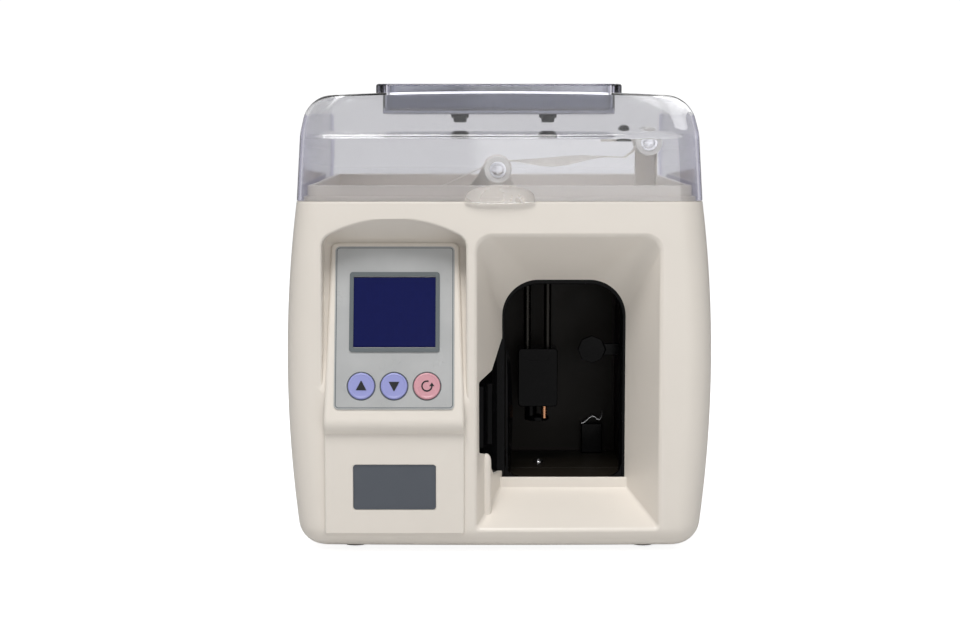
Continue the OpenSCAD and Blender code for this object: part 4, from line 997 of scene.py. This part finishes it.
for x in HINGE_X:
    knuckle = turned("knuckle", [(KNUCKLE_R, x - 8), (KNUCKLE_R, x + 8)], (HINGE_Y, HINGE_Z),
                     axis="x")
    arm = rectangle(COVER_BACK - 1.25, 229.5, HINGE_Y, 234.5)
    combine(knuckle, bar("arm", arm, x - 7.9, x + 7.9, "x"), "UNION")
    combine(cover, knuckle, "UNION")
    combine(cover, pin_bore(x))
    ear_space = rectangle(HINGE_Y - 3.8, 226.25, HINGE_Y + 3.8, 236.75)
    for middle in (x - 11.3, x + 11.3):
        combine(cover, bar("ear_space", ear_space, middle - 3.3, middle + 3.3, "x"))
combine(cover, hollow)
smooth(cover, 26)
cover.data.materials.clear()
CLEAR, EDGE_PAINTED_SHADE, TRAY_PAINTED_SHADE, LIP_PAINTED_HIGHLIGHT = range(4)
for finish in (SMOKED, SMOKED_PAINTED_EDGE_SHADE, SMOKED_PAINTED_TRAY_SHADE, ACRYLIC_PAINTED_HIGHLIGHT):
    cover.data.materials.append(finish)
for face in cover.data.polygons:
    x, y, z = (c / MM for c in face.center)
    wide = half_w(SEAM_Z) - DRAFT * (z - SEAM_Z)
    near_tray = abs(y - TRAY_Y) < TRAY_D / 2 + 3.2 and abs(x) < TRAY_W / 2 + 3.2
    # painted shade on the side edges
    if abs(x) > wide - 3.2 and abs(face.normal.x) > 0.6 and z < 282:
        face.material_index = EDGE_PAINTED_SHADE
    # painted shade on the tray rim
    elif z > TOP_Z + 0.4:
        face.material_index = EDGE_PAINTED_SHADE
    # painted shade on the walls of the tray
    elif 281.5 < z < TOP_Z and near_tray:
        face.material_index = TRAY_PAINTED_SHADE
    # painted highlight on the finger lip
    elif abs(x) < 23 and z < 239.6 and y < FACE - 0.25:
        face.material_index = LIP_PAINTED_HIGHLIGHT
    else:
        face.material_index = CLEAR
dress(cover, "cover", "clear_plastic", None, "top_cover")
print("cover:", len(cover.data.polygons), "faces")

# %% [markdown]
# Two black lugs hang under the tray and show dark through the cover. They are turned parts
# that ride with the cover.

# %% Lugs under the tray
for name, x in (("tray_lug_left", -26), ("tray_lug_right", 33)):
    lug = turned(name, [(6.0, 282.2), (6.0, 279.8), (4.4, 279.2), (4.4, 277.2), (3.8, 276.6)],
                 (x, -58), axis="z", steps=40)
    dress(smooth(soften(lug, 0.3, 2, 40)), "cover", "black_plastic", BLACK)

print("lug:", len(lug.data.polygons), "faces")

# %% [markdown]
# ## The control panel
# Everything on the panel is drawn on its sloping plane and carried out along its normal. The
# prints on the film are thin bars that stand a few hundredths of a millimetre proud.

# %% Film, display surround and display
OVERLAY_T, OVERLAY_V = 0.8, 59.0


def thin_frame(cx, cy, w, h, r, width, low, high, name):
    made = on_panel(rounded_rectangle(cx, cy, w, h, r), low, high, name)
    inner = on_panel(rounded_rectangle(cx, cy, w - 2 * width, h - 2 * width, max(r - width, 0.3)),
                     low - 1, high + 1)
    return combine(made, inner)


film = on_panel(rounded_rectangle(0, OVERLAY_V, 77, 106, 3), 0, OVERLAY_T, "panel_film")
soften(film, 0.25, 2, 40)
cut_window(film, -1, 2)
cut_button_holes(film, -1, 2)
dress(smooth(film), "machine", "overlay", FILM, "panel_overlay")
line = thin_frame(0, OVERLAY_V, 75.4, 104.4, 2.4, 0.55, OVERLAY_T - 0.1, OVERLAY_T + 0.03,
                  "film_outline")
dress(line, "machine", "bezel", BEZEL)
surround = thin_frame(0, BEZEL_V, 58, 52, 2, 2.6, OVERLAY_T, 1.6, "display_surround")
dress(smooth(soften(surround, 0.3, 3, 40)), "machine", "bezel", BEZEL, "display_bezel")
pane = on_panel(rounded_rectangle(0, BEZEL_V, 53.4, 45.4, 0.8), -6, 0.7, "display_pane")
dress(smooth(soften(pane, 0.3, 2, 40)), "machine", "display", DISPLAY, "display_window")
print("panel film:", len(film.data.polygons), "faces")


# %% [markdown]
# A button is a turned cap with a dished top and a collar that keeps it behind the panel. Its
# symbol is a thin bar on the cap and moves with it. The ring round it stays on the film.

# %% Buttons and their symbols
def panel_turned(name, profile, v_place, steps=72):
    """A profile of (radius, height over the panel) turned round the panel's normal."""
    x, v = v_place
    rings = [[tuple(OUT @ Vector((x + a, v + b, w))) for a, b in circle(r, steps)]
             for r, w in profile]
    return stacked_rings(name, rings)


def panel_shape(name, points, where):
    x, v = where
    return on_panel([(x + a, v + b) for a, b in points], BUTTON_TOP - 0.25, BUTTON_TOP + 0.04, name)


BUTTON_TOP = OVERLAY_T + 1.0
cap = [(9.6, -8.4), (9.6, -7.2), (8.6, -7.2)]
cap += [(r, BUTTON_TOP - down) for r, down in (
    (8.6, 0.9), (8.45, 0.45), (8.1, 0.15), (7.6, 0), (7.2, 0.05), (6.9, 0.22), (6.5, 0.25),
    (0.4, 0.18))]
up_sign = [(-3.4, -2.7), (3.4, -2.7), (0.25, 3.3), (-0.25, 3.3)]
down_sign = [(x, -y) for x, y in reversed(up_sign)]
again = arc(0, 0, 3.6, 70, 360, 40) + arc(0, 0, 2.7, 360, 70, 40)
again_head = [(1.5, -0.1), (4.8, -0.1), (3.15, 2.3)]
for place, name, body, finish, slot_name, signs in (
        (-1, "up", "up_key", LILAC, "lilac_key", [up_sign]),
        (0, "down", "down_key", LILAC, "lilac_key", [down_sign]),
        (1, "clear", "clear_key", PINK, "pink_key", [again, again_head])):
    where = (place * BUTTON_PITCH, BUTTON_V)
    key = smooth(panel_turned(name + "_key_cap", cap, where), 40)
    dress(key, body, slot_name, finish, name + "_button")
    for k, sign in enumerate(signs):
        dress(panel_shape(f"{name}_key_sign_{k}", sign, where), body, "black_plastic", PRINT)
    low, high = OVERLAY_T - 0.1, OVERLAY_T + 0.04
    ring = panel_turned(name + "_key_ring", [(9.35, low), (9.35, high), (8.92, high),
                                             (8.92, low)], where)
    combine(ring, panel_turned("hole", [(8.9, -1), (8.9, 3)], where))
    dress(ring, "machine", "bezel", BEZEL)
print("key cap:", len(key.data.polygons), "faces")

# %% [markdown]
# The plate lies in its shallow well and has a fine raised border, made as a bar with a hole.
# It is left bare.

# %% Name plate
plate_outline = rounded_rectangle(PANEL_X, PLATE_Z, 53, 29, 1.8)
plate = bar("name_plate_face", plate_outline, -142.05, -141.5)
rim_bar = bar("plate_rim", plate_outline, -142.3, -141.6)
inside = rounded_rectangle(PANEL_X, PLATE_Z, 51.4, 27.4, 1.2)
combine(rim_bar, bar("inner", inside, -145, -141))
combine(plate, soften(rim_bar, 0.12, 2, 40), "UNION")
dress(smooth(plate), "machine", "plate", PLATE, "name_plate")
print("name plate:", len(plate.data.polygons), "faces")

# %% [markdown]
# ## The tape drive under the cover
# Rollers are turned with soft edges. Each one runs on a cross-recess screw with a washer. The
# tape is paper, so between the rollers it waves a little and tips towards the viewer.

# %% Guide rollers, their screws and brackets
TAPE_Y = -83.0
DRUM_R, ROLLER_Y0, ROLLER_Y1 = 5.0, -95.6, -70.4
ROLLERS = {"mid": (-1, 247), "end": (98, 265)}


def solid_of(node):
    """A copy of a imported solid, with its flat faces whole again."""
    source = frame["nodes"][node]
    made = bpy.data.objects.new(node + "_dressed", source.data.copy())
    bpy.context.scene.collection.objects.link(made)
    return outward(made, source.matrix_world, 2e-6)


def edged(node, body, slot_name, finish, width=0.35, segments=2, angle=34):
    """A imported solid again, with small radii on its edges."""
    made = soften(solid_of(node), width, segments, angle)
    return dress(smooth(made, 30), body, slot_name, finish, node)


for which, centre in ROLLERS.items():
    profile = [(r, ROLLER_Y0 + d) for r, d in (
        (2.05, 1), (4.4, 1), (4.6, 0), (8.2, 0), (8.62, 0.18), (8.8, 0.6), (8.8, 1.1),
        (8.5, 1.5), (5.5, 1.6), (5.1, 1.75), (DRUM_R, 2.2))]
    profile += [(r, ROLLER_Y1 - d) for r, d in (
        (DRUM_R, 2.2), (5.1, 1.75), (5.5, 1.6), (8.5, 1.5), (8.8, 1.1), (8.8, 0.5), (8.4, 0),
        (2.05, 0))]
    drum = smooth(turned(which + "_drum", profile, centre, bored=True, steps=96), 50)
    dress(drum, which + "_roller", "white_plastic", WHITE, which + "_roller_drum")
    shank = turned(which + "_screw", [(2, -66.1), (2, -95.75), (5.3, -95.75), (5.5, -95.85),
                                      (5.5, -96.15), (5.3, -96.25), (3.95, -96.25), (4.0, -96.6),
                                      (3.7, -97.05), (2.9, -97.35), (1.2, -97.5)], centre, steps=72)
    cut_cross(shank, centre, 2.7, 0.55, -99, -96.5)
    dress(smooth(shank, 34), "machine", "steel", STEEL, which + "_axle_screw")
BRACKET_Y, BRACKET_T = -70.1, 4.0
teardrop = ([(-25, 228), (15, 228), (14.5, 229.5), (13, 231.5), (11, 234), (8.3, 241.5)]
            + [polar(ROLLERS["mid"], 9.6, a) for a in range(-20, 162, 9)]
            + [(-13.5, 244), (-18.5, 236.5), (-22, 231)])
mid_arm = soften(bar("mid_arm", teardrop, BRACKET_Y, BRACKET_Y + BRACKET_T), 1.0, 4, 50)
combine(mid_arm, turned("bore", [(2.05, -75), (2.05, -60)], ROLLERS["mid"], steps=32))
dress(smooth(mid_arm, 30), "machine", "ivory_plastic", IVORY, "mid_bracket")
edged("end_bracket", "machine", "ivory_plastic", IVORY, 0.7, 3)
edged("tape_sensor", "machine", "black_plastic", BLACK, 0.4, 2, 40)
print("roller drum:", len(drum.data.polygons), "faces")

# %% [markdown]
# The tape follows one line: off the roll, over both rollers, down to the feed roller and on to
# the arch. A band is carried along it, and tips where it hangs free. A curve with a bevel would
# do as well, but rings of points allow the tipping. Wound paper shows rings at its side, which
# is left to the finish.

# %% Tape, roll and hub
ROLL_C, ROLL_R, CORE_R, FEED_C, FEED_R = (-62, 160), 58.0, 20.0, (98, 48.7), 10.0
TURN_R, FEED_TURN_R, ARCH_RIGHT = DRUM_R + 0.5, FEED_R + 0.5, 81.5
MID, END = ROLLERS["mid"], ROLLERS["end"]
away = (MID[0] - ROLL_C[0], MID[1] - ROLL_C[1])
start_a = math.degrees(math.atan2(away[1], away[0])
                       + math.acos((ROLL_R - DRUM_R) / math.hypot(*away)))
path = [polar(ROLL_C, ROLL_R + 0.5, start_a)]
first = polar(MID, TURN_R, start_a)
path += [tuple(a + (b - a) * k / 6 for a, b in zip(path[0], first)) for k in range(1, 6)]
path += [polar(MID, TURN_R, start_a + (82 - start_a) * k / 8) for k in range(9)]
free = [(MID[0] + 70 * s, MID[1] + TURN_R + 3 * s - 1.6 * math.sin(math.pi * s)
         + 0.5 * math.sin(3 * math.pi * s)) for s in (k / 16 for k in range(1, 17))]
path += free
hook = [(END[0] - 15, END[1] - 10), (END[0] - 9.5, END[1] - 6)]
path += hook + [polar(END, TURN_R, 170 - 170 * k / 12) for k in range(13)]
path += [(END[0] + TURN_R, END[1] + (FEED_C[1] - END[1]) * k / 12) for k in range(1, 12)]
path += [polar(FEED_C, FEED_TURN_R, -90 * k / 12) for k in range(13)]
path += [(ARCH_RIGHT + 1, FEED_C[1] - FEED_TURN_R)]


def ribbon(name, points, width, thick, tips):
    """A band along an XZ path; tips tells how far it turns towards the viewer at a share."""
    rings = []
    for i, (x, z) in enumerate(points):
        before, after = points[max(i - 1, 0)], points[min(i + 1, len(points) - 1)]
        d = (after[0] - before[0], after[1] - before[1])
        size = math.hypot(*d)
        n = (-d[1] / size, d[0] / size)
        a = math.radians(tips(i))
        ring = []
        for side, face in ((-1, -1), (-1, 1), (-0.33, 1), (0.33, 1), (1, 1), (1, -1),
                           (0.33, -1), (-0.33, -1)):
            across, up = side * width / 2, face * thick / 2
            s = across * math.sin(a) + up * math.cos(a)
            y = TAPE_Y + across * math.cos(a) - up * math.sin(a)
            ring.append((x + n[0] * s, y, z + n[1] * s))
        rings.append(ring)
    return stacked_rings(name, rings)


span = (15, 31)
tape = ribbon("paper_tape", path, 20, 0.34,
              lambda i: 16 * math.sin(math.pi * (i - span[0]) / (span[1] - span[0])) ** 2
              if span[0] < i < span[1] else 0)
dress(smooth(tape, 60), "machine", "paper", PAPER, "tape_strip")
wound = [(CORE_R, -92.9)] + [(CORE_R + 0.6 + (ROLL_R - CORE_R - 1.2) * k / 22,
                              -93 + 0.12 * math.sin(2.4 * k)) for k in range(23)]
wound += [(ROLL_R, -92.6), (ROLL_R, -73.4)]
wound += [(ROLL_R - 0.6 - (ROLL_R - CORE_R - 1.2) * k / 22, -73 + 0.12 * math.sin(2.4 * k))
          for k in range(23)] + [(CORE_R, -73.1)]
roll = turned("wound_roll", wound, ROLL_C, bored=True, steps=120)


def wound_finish():
    finish, tree, shader, place = start_material("edges of wound paper")
    shift = add_node(tree, "ShaderNodeMapping", {
        "Location": (-ROLL_C[0] * MM, 0, -ROLL_C[1] * MM), "Vector": place})
    turns = add_node(tree, "ShaderNodeTexWave", {
        "Scale": 420, "Distortion": 1.5, "Vector": shift.outputs["Vector"]},
        wave_type="RINGS", rings_direction="Y")
    set_inputs(tree, shader, {
        "Base Color": mixed(tree, turns.outputs["Fac"], (0.70, 0.66, 0.58), (0.83, 0.80, 0.73)),
        "Roughness": 0.8})
    bump(tree, shader, turns.outputs["Fac"], 0.5, 0.0001)
    return finish


WOUND = wound_finish()
dress(smooth(roll, 40), "roll", "paper", WOUND, "paper_roll")
print("roll:", len(roll.data.polygons), "faces")
edged("roll_hub", "roll", "hub_plastic", HUB, 0.5, 3)
edged("roll_spindle", "machine", "steel", STEEL, 0.4, 2)
print("tape:", len(tape.data.polygons), "faces, points on its way:", len(path))

# %% [markdown]
# ## What stands in the note mouth
# Behind the ivory funnel all is black or nearly so, and glossy edges are what the eye reads.
# So the arch and the blade get true radii, which catch the light as thin lines.

# %% Tape arch, blade and guide
ARCH_LEFT, ARCH_TOP, ARCH_R, ARCH_WALL, TABLE_Z = 4.0, 172.0, 22.0, 6.0, 43.5


def arch_loop(grow, low):
    x0, x1, r = ARCH_LEFT - grow, ARCH_RIGHT + grow, ARCH_R + grow
    top = ARCH_TOP + grow
    return ([(x0, low)] + [(x0, low + (top - r - low) * k / 12) for k in range(1, 12)]
            + arc(x0 + r, top - r, r, 180, 90, 24) + arc(x1 - r, top - r, r, 90, 0, 24)
            + [(x1, top - r + (low - top + r) * k / 12) for k in range(1, 13)])


def arch_band(name, sections, low):
    """Sections of (growth, y) make a closed profile carried along the arch."""
    rings = [[(x, y, z) for x, z in arch_loop(grow, low)] for grow, y in sections]
    count, along = len(rings), len(rings[0])
    ends = [tuple(k * along + i for k in range(count)) for i in (0, along - 1)]
    faces = ring_faces(count, along, loop=True, strip=True) + ends
    return outward(new_object(name, sum(rings, []), faces))


ARCH_Y0, ARCH_Y1 = -97.7, -68.3
profile = [(0.9, ARCH_Y0), (0.35, ARCH_Y0 + 0.15), (0.1, ARCH_Y0 + 0.45), (0.0, ARCH_Y0 + 1.0),
           (0, -93.9), (0.2, -93.7), (2.3, -93.7), (2.5, -93.5), (2.5, -72.5), (2.3, -72.3),
           (0.2, -72.3), (0, -72.1), (0, ARCH_Y1 - 0.6), (0.5, ARCH_Y1), (ARCH_WALL - 0.5, ARCH_Y1),
           (ARCH_WALL, ARCH_Y1 - 0.5), (ARCH_WALL, ARCH_Y0 + 0.5), (ARCH_WALL - 0.5, ARCH_Y0)]
arch = arch_band("tape_arch_band", profile, TABLE_Z - 2.4)
dress(smooth(arch, 24), "machine", "black_plastic", BLACK, "tape_arch")
for side, x, inward, turn in (("left", ARCH_LEFT, 9, 180), ("right", ARCH_RIGHT, -9, 270)):
    corner = [(x, TABLE_Z)] + arc(x + inward, TABLE_Z + 9, 9, turn, turn + 90, 10)
    fillet = bar("arch_fillet_" + side, corner, ARCH_Y0 + 0.2, -93.8)
    dress(smooth(fillet), "machine", "black_plastic", BLACK)
blade_rings = []
for k in range(25):
    s = k / 24
    thin = math.sqrt(max(0.0, 1 - s ** 2.6))
    x, y0, y1 = ARCH_LEFT, ARCH_Y0 + 1 + 5 * s ** 3, ARCH_Y1 - 2 - 16 * s ** 2
    y1 = y0 + (y1 - y0) * max(thin, 0.04)
    wide = max(0.15, 1.5 * thin)
    bow = 1.6 * math.sin(math.pi * s)
    middle = (y0 + y1) / 2
    section = [(x + 0.8, y0), (x + 0.8 + wide * 0.7, y0), (x + 2.2 + wide + bow, middle),
               (x + 1.9 + wide * 0.7, y1), (x + 1.7, y1), (x + 2.1 + bow, middle)]
    blade_rings.append([(px, py, TABLE_Z + 84 * s) for px, py in section])
blade = soften(stacked_rings("upright_blade", blade_rings), 0.12, 2, 30)
dress(smooth(blade, 50), "machine", "black_plastic", BLACK, "guide_blade")
edged("side_guide", "machine", "black_plastic", BLACK, 0.6, 3)
print("arch:", len(arch.data.polygons), "faces, blade:", len(blade.data.polygons), "faces")

# %% [markdown]
# Table, bay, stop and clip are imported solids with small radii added. The ring screw is turned,
# the spring is a bent strip, and the press is a block with a groove, a foot and a copper pin.

# %% Table, bay and what stands in it
for node, slot_name, finish, width in (
        ("note_table", "black_plastic", LINER, 0.5), ("note_bay", "dark_plastic", LINER, 0.6),
        ("side_stop", "black_plastic", BLACK, 0.5), ("clip_block", "black_plastic", BLACK, 0.8)):
    edged(node, "machine", slot_name, finish, width, 3)
ring_screw = turned("ring_screw", [(1.2, 44.0), (1.2, 44.75), (1.5, 45.1), (2.2, 45.2), (3.2, 44.7),
                                   (3.6, 43.9), (3.6, 43.5), (1.5, 43.5), (1.5, 41.0), (1.2, 41.0)],
                    (28, -43), bored=True, axis="z", steps=48)
dress(smooth(ring_screw, 40), "machine", "steel", STEEL, "table_screw")
spring_low = [(0, 0.0), (1.5, 0.3), (3.5, 1.6), (5.5, 3.6), (7.5, 5.0), (9.5, 4.6), (11.5, 2.8),
              (13, 2.6), (14.2, 4.4), (15, 7.4)]
leaf = [(59.5 + x, 64.5 + z) for x, z in spring_low]
leaf += [(59.5 + x, 65.05 + z) for x, z in reversed(spring_low)]
leaf_spring = soften(bar("leaf_spring", leaf, -7, 1), 0.15, 2, 60)
dress(smooth(leaf_spring, 60), "machine", "steel", STEEL, "clip_spring")
block_outline = rounded_rectangle(27, 104, 27, 40, 2.2, 6)
press_block = soften(bar("press_block", block_outline, -55, -29), 0.7, 3, 50)
combine(press_block, bar("groove", rounded_rectangle(27, 117.5, 15, 3, 1.4, 6), -58, -54.2))
for name, profile, centre in (
        ("foot_stem", [(4.2, 73.2), (4.2, 84.5)], (22.5, -42)),
        ("foot_disc", [(7.3, 73.0), (8, 73.4), (8, 75.4), (7.5, 76.0), (4, 76.6)], (27, -42))):
    combine(press_block, turned(name, profile, centre, axis="z"), "UNION")
dress(smooth(press_block, 34), "press", "black_plastic", BLACK, "note_press")
pin = turned("copper_pin", [(2.0, 75.8), (2.0, 83.0), (2.3, 83.2), (2.3, 84.4)], (31.5, -52),
             axis="z", steps=40)
dress(smooth(pin, 40), "press", "copper", COPPER)
edged("press_rods", "press", "steel", DARK_STEEL, 0.3, 2)
edged("press_guide", "machine", "steel", DARK_STEEL, 0.5, 2)
print("press:", len(press_block.data.polygons), "faces")

# %% [markdown]
# ## Drive, sealing head and electrics
# These sit inside. The feed roller has ribs all round, the boards have rows of pins, and both
# are made by the same node tree that placed the screws.

# %% Feed and pinch rollers
core = turned("feed_tyre", [(3.0, -92), (9.3, -92), (9.6, -91.7), (9.6, -74.3), (9.3, -74),
                            (3.0, -74)], FEED_C, bored=True, steps=96)
dress(smooth(core, 40), "feed", "rubber", RUBBER, "feed_roller")
rib = bar("feed_ribs", [(9.4, -0.5), (9.98, -0.32), (9.98, 0.32), (9.4, 0.5)], -8.6, 8.6)
repeat(rib, RUBBER, 36, (FEED_C[0], TAPE_Y, FEED_C[1]), turn=(0, 10, 0))
dress(smooth(rib), "feed", "rubber", RUBBER)
PINCH_C = (114, FEED_C[1])
tyre = turned("pinch_tyre", [(1.55, -92), (4.6, -92), (5, -91.6), (5, -73.4), (4.6, -73),
                             (1.55, -73)], PINCH_C, bored=True, steps=72)
dress(smooth(tyre, 40), "pinch_roller", "rubber", RUBBER, "pinch_roller_drum")
for node, body, slot_name, finish in (
        ("feed_shaft", "feed", "steel", STEEL), ("feed_gear", "feed", "white_plastic", WHITE),
        ("motor_pinion", "motor", "brass", BRASS), ("pinch_arm", "pinch_lever", "steel", STEEL),
        ("pinch_pivot", "machine", "steel", STEEL)):
    edged(node, body, slot_name, finish, 0.15, 2, 40)
for node in ("feed_motor", "cam_motor", "head_frame", "power_supply", "chassis_plate",
             "base_plate"):
    edged(node, "machine", "motor_steel", SHEET, 0.4, 2, 50)
print("feed ribs:", len(rib.data.polygons), "faces")

# %% [markdown]
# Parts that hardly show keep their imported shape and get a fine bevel, which is enough to catch
# light through the openings. The pins are copies by the node tree, and the feet are turned
# with their grooves.

# %% Sealing head, boards, inlet and switch
for node, body, slot_name, finish in (
        ("cam_shaft", "camshaft", "steel", STEEL), ("left_gripper", "left_grip", "steel", STEEL),
        ("right_gripper", "right_grip", "steel", STEEL),
        ("heater_block", "heater", "copper", COPPER), ("cutter_blade", "cutter", "steel", STEEL),
        ("control_board", "machine", "board", BOARD), ("main_board", "machine", "board", BOARD),
        ("switch_body", "machine", "black_plastic", BLACK),
        ("power_switch", "rocker", "red_key", RED), ("hinge_pins", "machine", "steel", STEEL),
        ("foot_screws", "machine", "steel", STEEL)):
    edged(node, body, slot_name, finish, 0.2, 2, 50)
socket = solid_of("power_inlet")
dress(smooth(soften(socket, 0.5, 3, 50)), "machine", "black_plastic", BLACK, "power_inlet")
pins = bar("inlet_pins", rounded_rectangle(0, 0, 2, 4, 0.4, 3), -6.5, 6.5)
repeat(pins, BRASS, 3, (-95, 133.6, 52), (7, 0, 0))
dress(smooth(pins), "machine", "brass", BRASS)
solder = bar("board_pins", rectangle(-0.3, -0.3, 0.3, 0.3), -1.6, 2.6, "z")
repeat(solder, BRASS, 20, (24, 110, 18.4), (4, 0, 0))
dress(solder, "machine", "brass", BRASS)
foot_rings = [(7.4, 0.3), (7.7, 0.0), (8.1, 0.0), (8.4, 0.25), (8.95, 3.6), (9.0, 4.0), (2.05, 4.0),
              (2.05, 2.5), (4.0, 2.5), (4.0, 0.0), (4.6, 0.0), (4.9, 0.3), (5.5, 0.3), (5.8, 0.0),
              (6.2, 0.0), (6.5, 0.3)]
for x, y, nodes in ((-FOOT_X, -FOOT_Y, ["rubber_feet"]), (-FOOT_X, FOOT_Y, []),
                    (FOOT_X, -FOOT_Y, []), (FOOT_X, FOOT_Y, [])):
    one = turned("rubber_feet_turned", foot_rings, (x, y), bored=True, axis="z", steps=56)
    dress(smooth(one, 40), "machine", "rubber", RUBBER, *nodes)
print("solids still shown:", [n for n, o in frame["nodes"].items() if not o.hide_render])

# %% [markdown]
# ## The studio
# A pale floor, a soft key from above, a weak fill from the front and a light from behind. Floor
# and room look white to the camera, also through the clear cover, but give the machine much
# less light than that, so its form keeps some shade.

# %% Floor, light and camera
def area_light(name, place, aim, size, power, tint=(1, 1, 1)):
    data = bpy.data.lights.new(name, "AREA")
    data.shape, data.size, data.energy, data.color = "SQUARE", size, power, tint
    light = bpy.data.objects.new(name, data)
    bpy.context.scene.collection.objects.link(light)
    light.location = place
    light.rotation_euler = (Vector(aim) - Vector(place)).to_track_quat("-Z", "Y").to_euler()
    return light


def seen_ray(tree):
    """One for what the camera sees, straight or through the clear cover, and nought for bounces."""
    path = tree.nodes.new("ShaderNodeLightPath")
    either = tree.nodes.new("ShaderNodeMath")
    either.operation = "MAXIMUM"
    tree.links.new(path.outputs["Is Camera Ray"], either.inputs[0])
    tree.links.new(path.outputs["Is Transmission Ray"], either.inputs[1])
    return either.outputs["Value"]


def floor_finish():
    """Pale and faintly luminous, like a sheet of white paper lit from behind."""
    finish, tree, shader, place = start_material("pale floor")
    slow = noise(tree, place, 1.5, 2)
    set_inputs(tree, shader, {
        "Base Color": mixed(tree, ranged(tree, slow, 0, 1), (0.60, 0.60, 0.60),
                            (0.64, 0.64, 0.64)),
        "Roughness": 0.7, "Emission Color": (1, 1, 1, 1),
        "Emission Strength": ranged(tree, seen_ray(tree), 0.06, 0.86, 0, 1)})
    return finish


floor_outline = rectangle(-9000, -4000, 9000, 12000)
floor = new_object("floor", [(x, y, 0) for x, y in floor_outline], [(0, 1, 2, 3)])
floor.data.materials.append(floor_finish())
area_light("soft key", (-0.20, -1.10, 1.97), (0, -0.1, 0.12), 0.9, 33, (1.0, 0.985, 0.965))
area_light("front fill", (0.5, -2.3, 0.45), (0, 0, 0.15), 1.1, 6.5)
area_light("back light", (0.2, 1.3, 1.3), (0, 0, 0.2), 1.2, 8)
world = bpy.data.worlds.new("pale room")
bpy.context.scene.world = world
world.use_nodes = True
sky = world.node_tree
ROOM_LIGHT, ROOM_SEEN = 0.26, 1.05
set_inputs(sky, sky.nodes["Background"], {
    "Color": (1, 1, 1, 1),
    "Strength": ranged(sky, seen_ray(sky), ROOM_LIGHT, ROOM_SEEN, 0, 1)})
bpy.context.scene.view_settings.view_transform = "Standard"

CAMERA_PLACE, LOOK_DOWN, LENS = (-0.0126, -1.3405, 0.280), 6.05, 71.0
camera_data = bpy.data.cameras.new("camera")
camera_data.lens, camera_data.sensor_width = LENS, 36
camera = bpy.data.objects.new("camera", camera_data)
bpy.context.scene.collection.objects.link(camera)
bpy.context.scene.camera = camera
camera.location = CAMERA_PLACE
camera.rotation_euler = (math.radians(90 - LOOK_DOWN), 0, 0)
print("lights:", len(bpy.data.lights))
